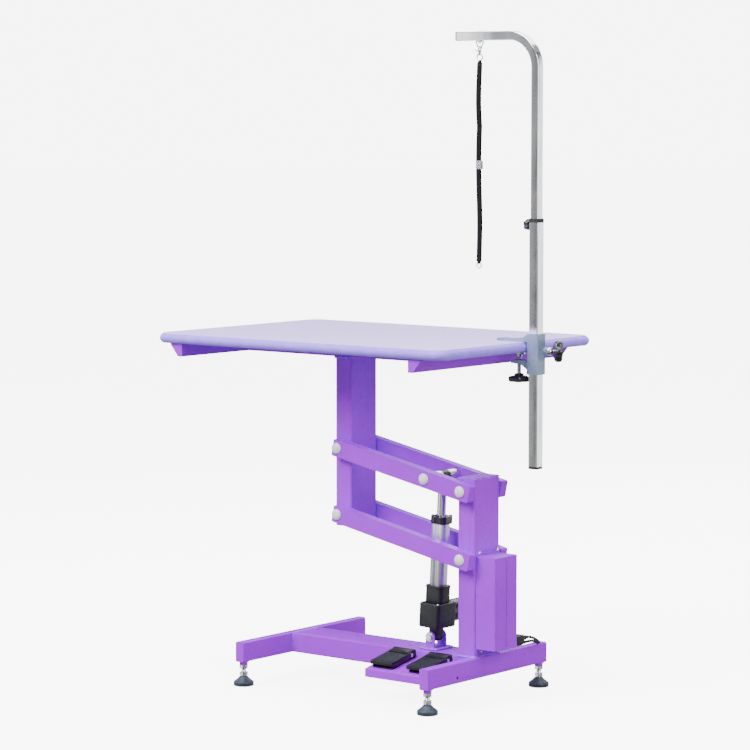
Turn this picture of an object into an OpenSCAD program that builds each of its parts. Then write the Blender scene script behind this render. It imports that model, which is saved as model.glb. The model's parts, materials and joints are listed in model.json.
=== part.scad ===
// Electric pet grooming table: H base, parallelogram lift with a linear actuator, arm with noose.
// Millimetres, +Z up. The origin is on the floor, below the middle of the table's bounding box.

/* [Tabletop] */
// Length of the tabletop
table_l = 890; // [860:5:920]
// Width of the tabletop
table_w = 615; // [600:5:640]
// Thickness of the tabletop with its edge trim
table_t = 25; // [22:1:30]
// Corner radius of the tabletop
corner_r = 38; // [30:1:60]
// Height of the tabletop's upper face with the lift as drawn
table_top = 864; // [860:1:870]

/* [Base] */
// Length of each cross tube
cross_len = 475; // [440:5:480]
// Width of a cross tube
tube_w = 25; // [20:1:30]
// Height of the base tubes
tube_h = 50; // [45:1:55]
// Height of the base tubes' underside above the floor
tube_z = 60; // [60:1:62]
// Wall thickness of the steel tubes
wall = 2.5; // [2:0.5:3]
// Distance between the middles of the feet, front to back
foot_span = 444; // [420:2:446]

/* [Lift] */
// Distance between the pivots of a lift link
link_len = 385; // [380:1:390]
// Angle of the links above horizontal as drawn
link_angle = 11.5; // [10:0.5:13]
// Height of a link bar
link_h = 42; // [38:1:44]
// Thickness of a link bar
link_t = 25; // [20:1:26]
// Depth of the mast and column tube along X
mast_d = 50; // [45:1:50]
// Breadth of the mast and column tube along Y
mast_w = 100; // [95:1:100]
// Radius of the pivot shafts
shaft_r = 10; // [9:0.5:11]

/* [Grooming arm] */
// Outside width of the square post
post_s = 25; // [25:1:26]
// Outside width of the square arm tube inside the post
arm_s = 21; // [20:0.5:21.5]
// Length of the post
post_len = 590; // [560:10:600]
// Centre-line radius of the arm's bend
bend_r = 75; // [65:5:85]
// Horizontal reach of the arm from the post
arm_reach = 233; // [225:1:240]

/* [Hidden] */
$fn = 48;

purple = "#9b55dd";
lavender = "#dcd6fe";
cast_grey = "#9fb0d0";
black = "#20242a";
chrome = "#c9ced6";
pad_grey = "#4a5568";

run_gap = 0.05;
side_gap = 1;

// Heights of the frame
beam_top = tube_z + tube_h;
mast_top = 540;
low_pivot_z = 346;
pivot_rise = 163;
high_pivot_z = low_pivot_z + pivot_rise;
column_bottom = 392;
frame_h = 31;
frame_z = table_top - table_t - frame_h;

// Places along X, counted from the mast's axis
left_x = -553;
right_x = 18.5;
link_dx = link_len * cos(link_angle);
link_dz = link_len * sin(link_angle);
column_x = -link_dx;
table_x = -323.5;
clamp_x = table_x + table_l / 2 + 17.5;
post_y = 37;
clamp_s = 33;

// The post lock knob reaches furthest right, so the origin depends on it
knob_r = 26;
knob_t = 18;
lock_len = 62;
lock_z = 842;
reach_right = clamp_x + (lock_len + knob_r) * sqrt(0.5);
reach_left = table_x - table_l / 2;
mast_x = -(reach_right + reach_left) / 2;

// Lift actuator
pin_frac = 110;
top_pin_x = -pin_frac * cos(link_angle);
top_pin_z = high_pivot_z + pin_frac * sin(link_angle);
low_pin_x = -128;
low_pin_z = 140;
actuator_lean = atan((top_pin_x - low_pin_x) / (top_pin_z - low_pin_z));
actuator_len = norm([top_pin_x - low_pin_x, top_pin_z - low_pin_z]);
pin_r = 8;
eye_half = 12;

// Pedals
tray_left = -212;
tray_right = right_x - tube_w / 2 - 0.3;
tray_front_y = -170;
tray_front_z = 76;
tray_slope = 10.8;
tray_t = 2.5;
pedal_w = 66;
pedal_len = 97;
pedal_x = [-168, -58];
pedal_y = -161;
pedal_hinge = [78, 12];

// Control box
box_x1 = 82;
box_y0 = -44;
box_y1 = 48;
box_z0 = 131;
box_z1 = 353;
box_skin = 1.5;
box_screws = [[-32, 360], [40, 360], [-26, 124], [34, 124]];
inlet_x = 58;
inlet_z = 142;

// Power cord: its route in free air and along the floor, from the relief to the coil
cord_r = 3.25;
connector_end = 92;
relief_end = 116;
coil_at = [-205, 150];
coil_mid_r = 36;
coil_half_w = 9.9;
coil_h = 17.9;
coil_leave_y = coil_at[1] + 42.6;
plug_x = -232;
cord_route = [
    [58, 116, 142], [58, 126, 141], [58, 138, 138], [57, 152, 133], [53, 168, 126],
    [46, 184, 119], [36, 199, 114.5], [23, 210, 113.3], [9, 214, 113.3], [-6, 213, 111],
    [-21, 210, 105], [-37, 206, 96], [-55, 202, 83], [-73, 199, 68], [-90, 196, 53],
    [-105, 194, 41], [-119, 192.5, 32], [-134, 191, 25], [-149, 190, 20], [-164, 189.5, 17],
    [-184, 189.2, 15], [-205, 189.2, 14.6]
];

// Grooming arm
post_bottom = 564;
post_top = post_bottom + post_len;
arm_bottom = 903;
arm_z = 1583;
ring_x = clamp_x - 168;
ring_z = arm_z - arm_s / 2;
strap_bottom = 1048;

// Heights of the noose hardware below the arm's underside
wire_r = 1.6;
ring_top = -2.2;
ring_low = -17.4;
hook_eye = -18.9;
stem_low = -33.4;
swivel_eye = -39.5;
slider_low = -304;

module at_mast() translate([mast_x, 0, 0]) children();

module mirrored_y() {
    children();
    mirror([0, 1, 0]) children();
}

// Rounded rectangle built from squares and circles, so that its corners stay true arcs
module round_rect(w, h, r) {
    square([w - 2 * r, h], center = true);
    square([w, h - 2 * r], center = true);
    for (x = [-1, 1], y = [-1, 1])
        translate([x * (w / 2 - r), y * (h / 2 - r)]) circle(r);
}

module tube_profile(w, h, t, r) {
    difference() {
        round_rect(w, h, r);
        round_rect(w - 2 * t, h - 2 * t, max(r - t, 0.6));
    }
}

// Extrusion whose length runs along +Y from y0 to y1
module along_y(y0, y1) translate([0, y1, 0]) rotate([90, 0, 0]) linear_extrude(y1 - y0) children();

// Extrusion whose length runs along +X from x0 to x1, profile drawn in Y and Z
module along_x(x0, x1) translate([x0, 0, 0]) rotate([90, 0, 90]) linear_extrude(x1 - x0) children();

module rod_y(r, y0, y1) translate([0, y1, 0]) rotate([90, 0, 0]) cylinder(r = r, h = y1 - y0);

// ---- Base frame ----

module cross_tube(x) {
    plate = 2;
    half = cross_len / 2 - plate;
    difference() {
        translate([x, 0, tube_z + tube_h / 2]) along_y(-half, half) tube_profile(tube_w, tube_h, wall, 4);
        for (y = [-1, 1]) translate([x, y * foot_span / 2, tube_z - 1]) cylinder(r = 6.5, h = wall + 2);
    }
}

module base_left_tube() color(purple) at_mast() cross_tube(left_x);

module base_right_tube() {
    color(purple) at_mast() difference() {
        cross_tube(right_x);
        translate([right_x + tube_w / 2 - wall - 1, -122, 74]) rotate([0, 90, 0]) cylinder(r = 3, h = wall + 2);
    }
}

module base_beam() {
    color(purple) at_mast() translate([0, 0, tube_z + tube_h / 2])
        along_x(left_x + tube_w / 2, right_x - tube_w / 2) tube_profile(mast_w, tube_h, wall, 4);
}

module base_end_plates() {
    color(purple) at_mast() {
        for (x = [left_x, right_x], y = [-cross_len / 2, cross_len / 2 - 2])
            translate([x, 0, tube_z + tube_h / 2]) along_y(y, y + 2) round_rect(tube_w, tube_h, 4);
        translate([0, 0, mast_top - 2]) linear_extrude(2) round_rect(mast_d, mast_w, 5);
    }
}

module foot_bosses() {
    color(purple) at_mast() for (x = [left_x, right_x], y = [-1, 1])
        translate([x, y * foot_span / 2, tube_z - 8]) difference() {
            cylinder(r = 11, h = 8, $fn = 6);
            translate([0, 0, -1]) cylinder(r = 6 + run_gap, h = 10);
        }
}

// Levelling foot: rubber pad, threaded stud, adjusting nut and lock nut
module levelling_foot(x, y) {
    at_mast() translate([x, y, 0]) {
        color(pad_grey) rotate_extrude() polygon([[0, 0], [25, 0], [25, 11], [12, 22], [9, 24], [0, 24]]);
        color(chrome) {
            translate([0, 0, 24]) cylinder(r = 6, h = 48);
            for (z = [26, 43.5]) translate([0, 0, z]) cylinder(r = 10.9, h = 8, $fn = 6);
        }
    }
}

module foot_front_left() levelling_foot(left_x, -foot_span / 2);
module foot_front_right() levelling_foot(right_x, -foot_span / 2);
module foot_back_left() levelling_foot(left_x, foot_span / 2);
module foot_back_right() levelling_foot(right_x, foot_span / 2);

module mast() {
    color(purple) at_mast() difference() {
        translate([0, 0, beam_top]) linear_extrude(mast_top - 2 - beam_top) tube_profile(mast_d, mast_w, wall, 5);
        for (z = [low_pivot_z, high_pivot_z]) translate([0, 0, z]) rod_y(shaft_r, -60, 60);
    }
}

shaft_half = mast_w / 2 + side_gap + link_t + 1;

module mast_shafts() {
    color(chrome) at_mast() for (z = [low_pivot_z, high_pivot_z])
        translate([0, 0, z]) rod_y(shaft_r, -shaft_half, shaft_half);
}

// Domed cap with a short skirt, pointing away along -Y
module domed_cap() {
    rotate([90, 0, 0]) rotate_extrude() intersection() {
        translate([0, -12]) circle(19);
        square([14, 7.2]);
    }
}

module pivot_caps(x, z) translate([x, 0, z]) mirrored_y() translate([0, -shaft_half, 0]) domed_cap();

module mast_pivot_caps() color("white") at_mast() for (z = [low_pivot_z, high_pivot_z]) pivot_caps(0, z);

// ---- Lift links ----

// Closed box bar between two pivots, with a collar round each bore and a drain hole below.
// Its own X runs from the mast towards the column.
module link_bar() {
    left_over = 13;
    right_over = 27;
    full_len = link_len + left_over + right_over;
    inside_t = link_t - 2 * wall;
    mid = (right_over - left_over - link_len) / 2;
    difference() {
        translate([mid, 0, 0]) along_y(-link_t / 2, link_t / 2) round_rect(full_len, link_h, 5);
        difference() {
            translate([mid, 0, 0]) along_y(-inside_t / 2, inside_t / 2)
                round_rect(full_len - 2 * wall, link_h - 2 * wall, 3);
            for (x = [0, -pin_frac, -link_len]) translate([x, 0, 0]) rod_y(shaft_r + 5, -20, 20);
        }
        for (x = [0, -link_len]) translate([x, 0, 0]) rod_y(shaft_r + 2.5, -20, 20);
        translate([-link_len / 2, 0, -link_h / 2 - 1]) cylinder(r = 3, h = wall + 2);
    }
}

module link_at(z, side) {
    at_mast() translate([0, side * (mast_w / 2 + side_gap + link_t / 2), z]) rotate([0, link_angle, 0])
        children();
}

module upper_link(side) {
    color(purple) link_at(high_pivot_z, side) difference() {
        link_bar();
        translate([-pin_frac, 0, 0]) rod_y(pin_r, -20, 20);
    }
}

module upper_link_front() upper_link(-1);
module upper_link_rear() upper_link(1);
module lower_link_front() color(purple) link_at(low_pivot_z, -1) link_bar();
module lower_link_rear() color(purple) link_at(low_pivot_z, 1) link_bar();

module link_bushes(z) {
    color("ivory") for (side = [-1, 1]) link_at(z, side) for (x = [0, -link_len])
        translate([x, 0, 0]) difference() {
            rod_y(shaft_r + 2.5, -link_t / 2, link_t / 2);
            rod_y(shaft_r + run_gap, -20, 20);
        }
}

module upper_link_bushes() link_bushes(high_pivot_z);
module lower_link_bushes() link_bushes(low_pivot_z);

// The pin that carries the rod end is in two halves: each is held in its own link
module actuator_pin() {
    at_mast() translate([top_pin_x, 0, top_pin_z]) mirrored_y() {
        color(chrome) rod_y(pin_r, -shaft_half, -eye_half - 1.5);
        color(black) difference() {
            rod_y(15, -mast_w / 2 - 0.5, -eye_half - 1.5);
            rod_y(pin_r + run_gap, -mast_w / 2 - 2, -eye_half);
        }
    }
}

module actuator_pin_caps() color("white") at_mast() pivot_caps(top_pin_x, top_pin_z);

// ---- Column and tabletop ----

module column() {
    color(purple) at_mast() translate([column_x, 0, 0]) difference() {
        union() {
            translate([0, 0, column_bottom]) linear_extrude(frame_z - column_bottom)
                tube_profile(mast_d, mast_w, wall, 5);
            translate([0, 0, column_bottom]) linear_extrude(wall) round_rect(mast_d, mast_w, 5);
        }
        for (z = [low_pivot_z, high_pivot_z]) translate([0, 0, z + link_dz]) rod_y(shaft_r, -60, 60);
    }
}

module column_shafts() {
    color(chrome) at_mast() for (z = [low_pivot_z, high_pivot_z])
        translate([column_x, 0, z + link_dz]) rod_y(shaft_r, -shaft_half, shaft_half);
}

module column_pivot_caps() {
    color("white") at_mast() for (z = [low_pivot_z, high_pivot_z]) pivot_caps(column_x, z + link_dz);
}

bar_top_w = 40;
bar_bottom_w = 14;
bar_left_x = -685.5;
bar_right_x = 16;
bar_len = 590;

module top_beam() {
    color(purple) at_mast() translate([0, 0, frame_z + frame_h / 2])
        along_x(bar_left_x, bar_right_x) tube_profile(mast_w, frame_h, wall, 4);
}

// Folded crossbar: upright inner web, sloping outer side, closed ends, two drain holes below
module crossbar(x, side) {
    section = [[0, 0], [bar_bottom_w, 0], [bar_top_w, frame_h], [0, frame_h]];
    cavity = [
        [wall, wall], [bar_bottom_w - wall, wall],
        [bar_top_w - 2 * wall, frame_h - wall], [wall, frame_h - wall]
    ];
    module side_shape(points) polygon([for (p = points) [side * p[0], p[1]]]);
    translate([x, 0, frame_z]) difference() {
        along_y(-bar_len / 2, bar_len / 2) side_shape(section);
        along_y(-bar_len / 2 + wall, bar_len / 2 - wall) side_shape(cavity);
        for (y = [-1, 1]) translate([side * bar_bottom_w / 2, y * 250, -1]) cylinder(r = 3, h = wall + 2);
    }
}

module crossbars() {
    color(purple) at_mast() {
        crossbar(bar_left_x, -1);
        crossbar(bar_right_x, 1);
    }
}

trim_t = 7;

module table_board() {
    color(lavender) at_mast() translate([table_x, 0, table_top - table_t])
        linear_extrude(table_t) round_rect(table_l - 2 * trim_t, table_w - 2 * trim_t, corner_r - trim_t);
}

// Bullnose edge trim: four straight runs and four quarter corners
module table_edge() {
    r = table_t / 2;
    module nose() {
        intersection() {
            union() {
                circle(r);
                translate([-r, -r]) square([r, 2 * r]);
            }
            translate([r - trim_t, -r]) square([trim_t, 2 * r]);
        }
    }
    dx = table_l / 2 - corner_r;
    dy = table_w / 2 - corner_r;
    color(lavender) at_mast() translate([table_x, 0, table_top - r]) {
        for (s = [0, 180]) rotate([0, 0, s]) {
            translate([table_l / 2 - r, dy, 0]) rotate([90, 0, 0]) linear_extrude(2 * dy) nose();
            translate([-dx, table_w / 2 - r, 0]) rotate([90, 0, 90]) linear_extrude(2 * dx) nose();
        }
        for (q = [[1, 1, 0], [-1, 1, 90], [-1, -1, 180], [1, -1, 270]])
            translate([q[0] * dx, q[1] * dy, 0]) rotate([0, 0, q[2]])
                rotate_extrude(angle = 90) translate([corner_r - r, 0]) nose();
    }
}

// ---- Actuator ----

// Frame of the actuator: its Z runs from the lower bolt towards the upper pin
module along_actuator() {
    at_mast() translate([low_pin_x, 0, low_pin_z]) rotate([0, actuator_lean, 0]) children();
}

bolt_r = 5;

module actuator_bracket() {
    color(purple) at_mast() translate([low_pin_x, 0, 0]) {
        translate([-25, -32, beam_top]) cube([50, 64, 4]);
        difference() {
            for (y = [-25, 20]) {
                translate([-13, y, beam_top + 4]) cube([26, 5, low_pin_z - beam_top - 4]);
                translate([0, 0, low_pin_z]) rod_y(13, y, y + 5);
            }
            translate([0, 0, low_pin_z]) rod_y(bolt_r + run_gap, -30, 30);
        }
    }
}

module actuator_bolt() {
    color(chrome) at_mast() translate([low_pin_x, 0, low_pin_z]) {
        rod_y(bolt_r, -25, 31);
        rotate([90, 0, 0]) translate([0, 0, 25]) cylinder(r = 9, h = 6, $fn = 6);
        translate([0, 31.5, 0]) rotate([90, 0, 0]) difference() {
            cylinder(r = 9, h = 6, $fn = 6);
            translate([0, 0, -1]) cylinder(r = bolt_r + run_gap, h = 8);
        }
    }
}

module actuator_housing() {
    color(black) along_actuator() difference() {
        union() {
            rod_y(12, -15, 15);
            translate([-12, -15, 0]) cube([24, 30, 24]);
            translate([0, 2, 24]) linear_extrude(60) round_rect(60, 74, 6);
            translate([0, 0, 84]) linear_extrude(42) round_rect(50, 42, 9);
        }
        rod_y(bolt_r + run_gap, -20, 20);
        translate([0, 0, 60]) cylinder(r = 14, h = 80);
    }
}

module actuator_motor() {
    color(black) along_actuator() translate([0, 0, 56]) {
        rod_y(27, 39.2, 104);
        rod_y(10, 104, 110);
    }
}

module actuator_tube() {
    color("silver") along_actuator() translate([0, 0, 126.2]) difference() {
        linear_extrude(150) round_rect(40, 34, 12);
        translate([0, 0, -1]) cylinder(r = 14, h = 152);
    }
}

module actuator_gland() {
    color(black) along_actuator() translate([0, 0, 276.4]) difference() {
        translate([0, 2, 0]) linear_extrude(19) round_rect(44, 44, 12);
        translate([0, 0, -1]) cylinder(r = 11 + run_gap, h = 21);
    }
}

module lead_screw() color(chrome) along_actuator() translate([0, 0, 61]) cylinder(r = 6, h = 205);

// Push rod with its eye; hollow so that it runs over the lead screw
module actuator_rod() {
    along_actuator() {
        color(chrome) difference() {
            translate([0, 0, 150]) cylinder(r = 11, h = actuator_len - 150 - 12);
            translate([0, 0, 149]) cylinder(r = 8, h = 190);
        }
        color("gray") translate([0, 0, actuator_len]) difference() {
            union() {
                rod_y(15, -eye_half, eye_half);
                translate([-11, -eye_half, -24]) cube([22, 2 * eye_half, 18]);
            }
            rod_y(pin_r + 0.5, -20, 20);
        }
    }
}

// ---- Pedals ----

tray_rear_z = tray_front_z + (-mast_w / 2 - 0.3 - tray_front_y) * tan(tray_slope);

module pedal_tray() {
    rear_y = -mast_w / 2 - 0.3;
    color(purple) at_mast() {
        along_x(tray_left, tray_right) polygon([
            [tray_front_y, tray_front_z - 21], [tray_front_y, tray_front_z - 2],
            [tray_front_y + 2, tray_front_z], [rear_y, tray_rear_z], [rear_y, tray_rear_z - tray_t],
            [tray_front_y + tray_t, tray_front_z - tray_t], [tray_front_y + tray_t, tray_front_z - 21]
        ]);
        along_x(tray_left, tray_left + tray_t) polygon([
            [tray_front_y + tray_t, tray_front_z - 21], [rear_y, tray_rear_z - 21],
            [rear_y, tray_rear_z - tray_t], [tray_front_y + tray_t, tray_front_z - tray_t]
        ]);
    }
}

// Frame of a pedal on the sloping tray: its Y runs up the tray, its Z out of it
module on_tray(x) {
    z = tray_front_z + (pedal_y - tray_front_y) * tan(tray_slope);
    at_mast() translate([x, pedal_y, z]) rotate([tray_slope, 0, 0]) children();
}

cheek_t = 3;

module pedal_base() {
    inner = pedal_w - 2 * cheek_t - 0.8;
    difference() {
        union() {
            translate([-inner / 2, 3.5, 0.2]) cube([inner, pedal_len - 3.5, 2.5]);
            difference() {
                translate([-inner / 2, 3.5, 0.2]) cube([inner, 66, 5.5]);
                translate([-inner / 2 + 2, 5.5, 0]) cube([inner - 4, 62, 8]);
            }
            translate([-inner / 2, 69, 0.2]) cube([inner, pedal_len - 69, 20.8]);
            translate([-pedal_w / 2, 88.5, 0.2]) cube([pedal_w, pedal_len - 88.5, 20.8]);
            translate([-9, 44, 2.7]) cube([18, 20, 5]);
        }
        translate([0, pedal_hinge[0], pedal_hinge[1]]) rotate([0, 90, 0])
            translate([0, 0, -40]) cylinder(r = 2.5, h = 80);
    }
}

module pedal_bases() color(black) for (x = pedal_x) on_tray(x) pedal_base();

module pedal_pins() {
    color(chrome) for (x = pedal_x) on_tray(x) translate([0, pedal_hinge[0], pedal_hinge[1]]) rotate([0, 90, 0]) {
        translate([0, 0, -pedal_w / 2 - 0.5]) cylinder(r = 2.5, h = pedal_w + 1);
        for (z = [-pedal_w / 2 - 2.5, pedal_w / 2 + 0.5]) translate([0, 0, z]) cylinder(r = 4.5, h = 2);
    }
}

// Pedal lever: tread plate with a front skirt and two cheeks that reach back to the hinge
module pedal_lever() {
    cheek = [[0, 9], [60, 4], [72, 4], [84, 6], [86, 14], [80, 18.5], [66, 18.5], [0, 18]];
    difference() {
        union() {
            translate([-pedal_w / 2, 0, 14]) cube([pedal_w, 66, 4]);
            translate([-pedal_w / 2, 0, 9]) cube([pedal_w, 2.5, 6]);
            for (x = [-pedal_w / 2, pedal_w / 2 - cheek_t]) translate([x, 0, 0])
                along_x(0, cheek_t) polygon(cheek);
        }
        translate([0, pedal_hinge[0], pedal_hinge[1]]) rotate([0, 90, 0])
            translate([0, 0, -40]) cylinder(r = 2.5 + run_gap, h = 80);
    }
}

module up_pedal() color(black) on_tray(pedal_x[0]) pedal_lever();
module down_pedal() color(black) on_tray(pedal_x[1]) pedal_lever();

// ---- Control box and mains lead ----

// Plan of the cover, drawn inwards by a skin: a folded sheet with two softened outer edges
function box_outline(inset) = [
    [mast_d / 2 + 0.3, box_y0 + inset], [box_x1 - 8, box_y0 + inset],
    [box_x1 - 2 - inset, box_y0 + 2 + inset], [box_x1 - inset, box_y0 + 8],
    [box_x1 - inset, box_y1 - 8], [box_x1 - 2 - inset, box_y1 - 2 - inset],
    [box_x1 - 8, box_y1 - inset], [mast_d / 2 + 0.3, box_y1 - inset]
];

module control_box_cover() {
    flange = 2;
    span = box_y1 - box_y0;
    color(purple) at_mast() difference() {
        union() {
            translate([0, 0, box_z0]) linear_extrude(box_z1 - box_z0) polygon(box_outline(0));
            translate([mast_d / 2 + 0.3, box_y0, box_z0 - 14])
                cube([flange, span, box_z1 - box_z0 + 28]);
        }
        for (x = [-1, 0]) translate([x, 0, box_z0 + box_skin])
            linear_extrude(box_z1 - box_z0 - 2 * box_skin) polygon(box_outline(box_skin));
        translate([inlet_x - 14, box_y1 - 3, inlet_z - 10.5]) cube([28, 6, 22]);
        for (p = box_screws)
            translate([mast_d / 2 - 1, p[0], p[1]]) rotate([0, 90, 0]) cylinder(r = 2.6, h = 6);
    }
}

module control_box_screws() {
    color(chrome) at_mast() for (p = box_screws) translate([mast_d / 2 + 0.3, p[0], p[1]]) rotate([0, 90, 0]) {
        cylinder(r = 2.5, h = 2.3);
        translate([0, 0, 2.3]) intersection() {
            translate([0, 0, -3]) sphere(6);
            cylinder(r = 5, h = 4);
        }
    }
}

module control_board() {
    color("green") at_mast() translate([mast_d / 2 + 8, -34, 180]) cube([1.6, 70, 150]);
    color("gray") at_mast() {
        translate([mast_d / 2 + 12, -30, 190]) cube([30, 60, 60]);
        for (z = [270, 300]) translate([mast_d / 2 + 12, -25, z]) cube([18, 50, 15]);
    }
}

module power_inlet() {
    color(black) at_mast() {
        translate([inlet_x - 13.5, box_y1 - 22, inlet_z - 9]) cube([27, 22.2, 18]);
        translate([inlet_x - 17, box_y1 + 0.2, inlet_z - 13]) cube([34, 2, 26]);
    }
}

module power_connector() {
    color(black) at_mast() translate([inlet_x, 0, inlet_z]) {
        along_y(box_y1 + 2.4, connector_end) round_rect(26, 20, 4);
        translate([0, relief_end, 0]) rotate([90, 0, 0]) cylinder(r1 = cord_r + 1, r2 = 8, h = relief_end - connector_end);
    }
}

// Tube swept along a route: rings of points square to the local direction
module swept_tube(route, r, sides) {
    n = len(route);
    function way(i) = route[min(i + 1, n - 1)] - route[max(i - 1, 0)];
    function unit(v) = v / norm(v);
    function across(i) = unit(cross(way(i), [0, 0, 1]));
    function upright(i) = unit(cross(across(i), way(i)));
    points = [for (i = [0:n - 1], k = [0:sides - 1])
        route[i] + r * (cos(360 * k / sides) * across(i) + sin(360 * k / sides) * upright(i))];
    side_faces = [for (i = [0:n - 2], k = [0:sides - 1])
        [i * sides + k, i * sides + (k + 1) % sides, (i + 1) * sides + (k + 1) % sides, (i + 1) * sides + k]];
    ends = [[for (k = [sides - 1:-1:0]) k], [for (k = [0:sides - 1]) (n - 1) * sides + k]];
    polyhedron(points, concat(side_faces, ends));
}

// The lead in two stretches: from the relief to the coil, and from the coil to the plug
module power_cord() color(black) at_mast() {
    swept_tube(cord_route, cord_r, 8);
    translate([plug_x, coil_leave_y, 7]) rotate([0, 90, 0]) cylinder(r = cord_r, h = 12);
}

module cord_coil() {
    color(black) at_mast() translate([coil_at[0], coil_at[1], 0]) rotate_extrude()
        translate([coil_mid_r, coil_h / 2]) round_rect(2 * coil_half_w, coil_h, 4);
}

// Plug that lies on the floor beside the coil, its prongs pointing along -X
module power_plug() {
    color(black) at_mast() translate([plug_x, coil_leave_y, 0]) {
        translate([-15, 0, 7]) rotate([0, 90, 0]) cylinder(r1 = 7, r2 = cord_r + 1, h = 15);
        translate([-45, -12, 0]) cube([30, 24, 14]);
        for (y = [-6.35, 6.35]) translate([-62, y - 3, 6.2]) cube([17, 6, 1.6]);
    }
}

// ---- Clamp and grooming arm ----

module at_post() at_mast() translate([clamp_x, post_y, 0]) children();

clamp_z0 = 788;
clamp_z1 = 884;
jaw_y = 28;
screw_x = -50;

module clamp_body() {
    face = -clamp_s / 2;
    post_gap = 0.3;
    color(cast_grey) at_post() difference() {
        union() {
            translate([0, 0, clamp_z0]) linear_extrude(clamp_z1 - clamp_z0) round_rect(clamp_s, clamp_s, 3);
            along_y(-jaw_y / 2, jaw_y / 2) polygon([
                [face + 3, table_top + 0.3], [-68, table_top + 0.3], [-68, table_top + 7], [-30, table_top + 10],
                [face + 3, clamp_z1 - 1]
            ]);
            for (y = [-14, 4]) translate([-104, y, table_top + 0.3]) cube([40, 10, 6]);
            along_y(-jaw_y / 2, jaw_y / 2) polygon([
                [face + 3, 820.5], [screw_x - 13, 820.5], [screw_x - 13, 813], [-34, 811],
                [face + 3, 797]
            ]);
            rotate([0, 0, 45]) translate([16, 0, lock_z]) rotate([0, 90, 0]) cylinder(r = 10, h = 10);
        }
        translate([0, 0, clamp_z0 - 1]) linear_extrude(clamp_z1 - clamp_z0 + 2)
            round_rect(post_s + 2 * post_gap, post_s + 2 * post_gap, 2);
        rotate([0, 0, 45]) translate([0, 0, lock_z]) rotate([0, 90, 0]) cylinder(r = 4 + run_gap, h = 40);
        translate([screw_x, 0, 800]) cylinder(r = 5 + run_gap, h = 40);
    }
}

module clamp_pad() {
    color(chrome) at_post() translate([screw_x, 0, 0]) difference() {
        translate([0, 0, 828]) union() {
            cylinder(r = 9, h = 6);
            translate([0, 0, 6]) cylinder(r = 16, h = 4.7);
        }
        translate([0, 0, 820]) cylinder(r = 5 + run_gap, h = 13);
    }
}

// Five-lobed hand knob with its hub pointing along +Z
module star_knob(r, t) {
    lobe = r * 0.31;
    rotate([0, 0, 11]) linear_extrude(t) {
        circle(r * 0.8);
        for (i = [0:4]) rotate(72 * i) translate([r - lobe, 0]) circle(lobe);
    }
}

module clamp_screw() {
    at_post() translate([screw_x, 0, 0]) {
        color(chrome) translate([0, 0, 785]) cylinder(r = 5, h = 47.8);
        color(black) {
            translate([0, 0, 768]) star_knob(26, 14);
            translate([0, 0, 781.5]) cylinder(r = 11, h = 6.5);
        }
    }
}

module arm_post() {
    color(chrome) at_post() difference() {
        translate([0, 0, post_bottom + 6]) linear_extrude(post_len - 6) tube_profile(post_s, post_s, 1.5, 2);
        translate([-post_s, 0, post_top - 14]) rotate([0, 90, 0]) cylinder(r = 3 + run_gap, h = post_s);
    }
    color(black) at_post() translate([0, 0, post_bottom]) linear_extrude(5.8) round_rect(post_s, post_s, 2);
}

module arm_tube() {
    bend_z = arm_z - bend_r;
    color(chrome) at_post() {
        translate([0, 0, arm_bottom]) linear_extrude(bend_z - arm_bottom) tube_profile(arm_s, arm_s, 1.5, 2);
        translate([-bend_r, 0, bend_z]) rotate([90, 0, 0]) rotate_extrude(angle = 90)
            translate([bend_r, 0]) tube_profile(arm_s, arm_s, 1.5, 2);
        translate([0, 0, arm_z]) along_x(-arm_reach + 3, -bend_r) tube_profile(arm_s, arm_s, 1.5, 2);
    }
    color(black) at_ring() difference() {
        along_y(-3, 3) polygon([[-5.5, 0], [0, -7.5], [5.5, 0]]);
        translate([-8, 0, ring_top]) rotate([0, 90, 0]) cylinder(r = wire_r + run_gap, h = 16);
    }
    color(black) at_post() translate([0, 0, arm_z]) along_x(-arm_reach, -arm_reach + 2.8) round_rect(arm_s, arm_s, 2);
}

module arm_lock_knob() {
    at_post() translate([0, 0, post_top - 14]) rotate([0, -90, 0]) {
        color(chrome) translate([0, 0, arm_s / 2 + 0.2]) cylinder(r = 3, h = 10);
        color(black) translate([0, 0, post_s / 2 + 4]) star_knob(14, 14);
    }
}

module post_lock_knob() {
    at_post() translate([0, 0, lock_z]) rotate([0, 0, 45]) rotate([0, 90, 0]) {
        color(chrome) translate([0, 0, post_s / 2 * sqrt(2) + 0.3]) cylinder(r = 4, h = lock_len - knob_t - 16);
        color(chrome) translate([0, 0, 36.5]) difference() {
            sphere(10.5);
            translate([0, 0, -20]) cylinder(r = 30, h = 10);
            translate([0, 0, -20]) cylinder(r = 4 + run_gap, h = 40);
        }
        color(black) translate([0, 0, lock_len - knob_t]) rotate([0, 0, -101]) star_knob(knob_r, knob_t);
    }
}

// ---- Noose ----

module at_ring() at_post() translate([-168, 0, ring_z]) children();

// Wire loop whose top wire turns in the tab below the arm, narrowing to the snap hook
module noose_ring() {
    color(chrome) at_ring() {
        translate([-10, 0, ring_top]) rotate([0, 90, 0]) cylinder(r = wire_r, h = 20);
        for (s = [-1, 1]) {
            translate([s * 10, 0, ring_top]) sphere(wire_r);
            translate([s * 10, 0, ring_top]) rotate([0, s * -157, 0]) cylinder(r = wire_r, h = 16.5);
        }
        translate([-4.5, 0, ring_low]) rotate([0, 90, 0]) cylinder(r = wire_r, h = 9);
    }
}

module torus(big, small) rotate_extrude() translate([big, 0]) circle(small, $fn = 24);

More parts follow.
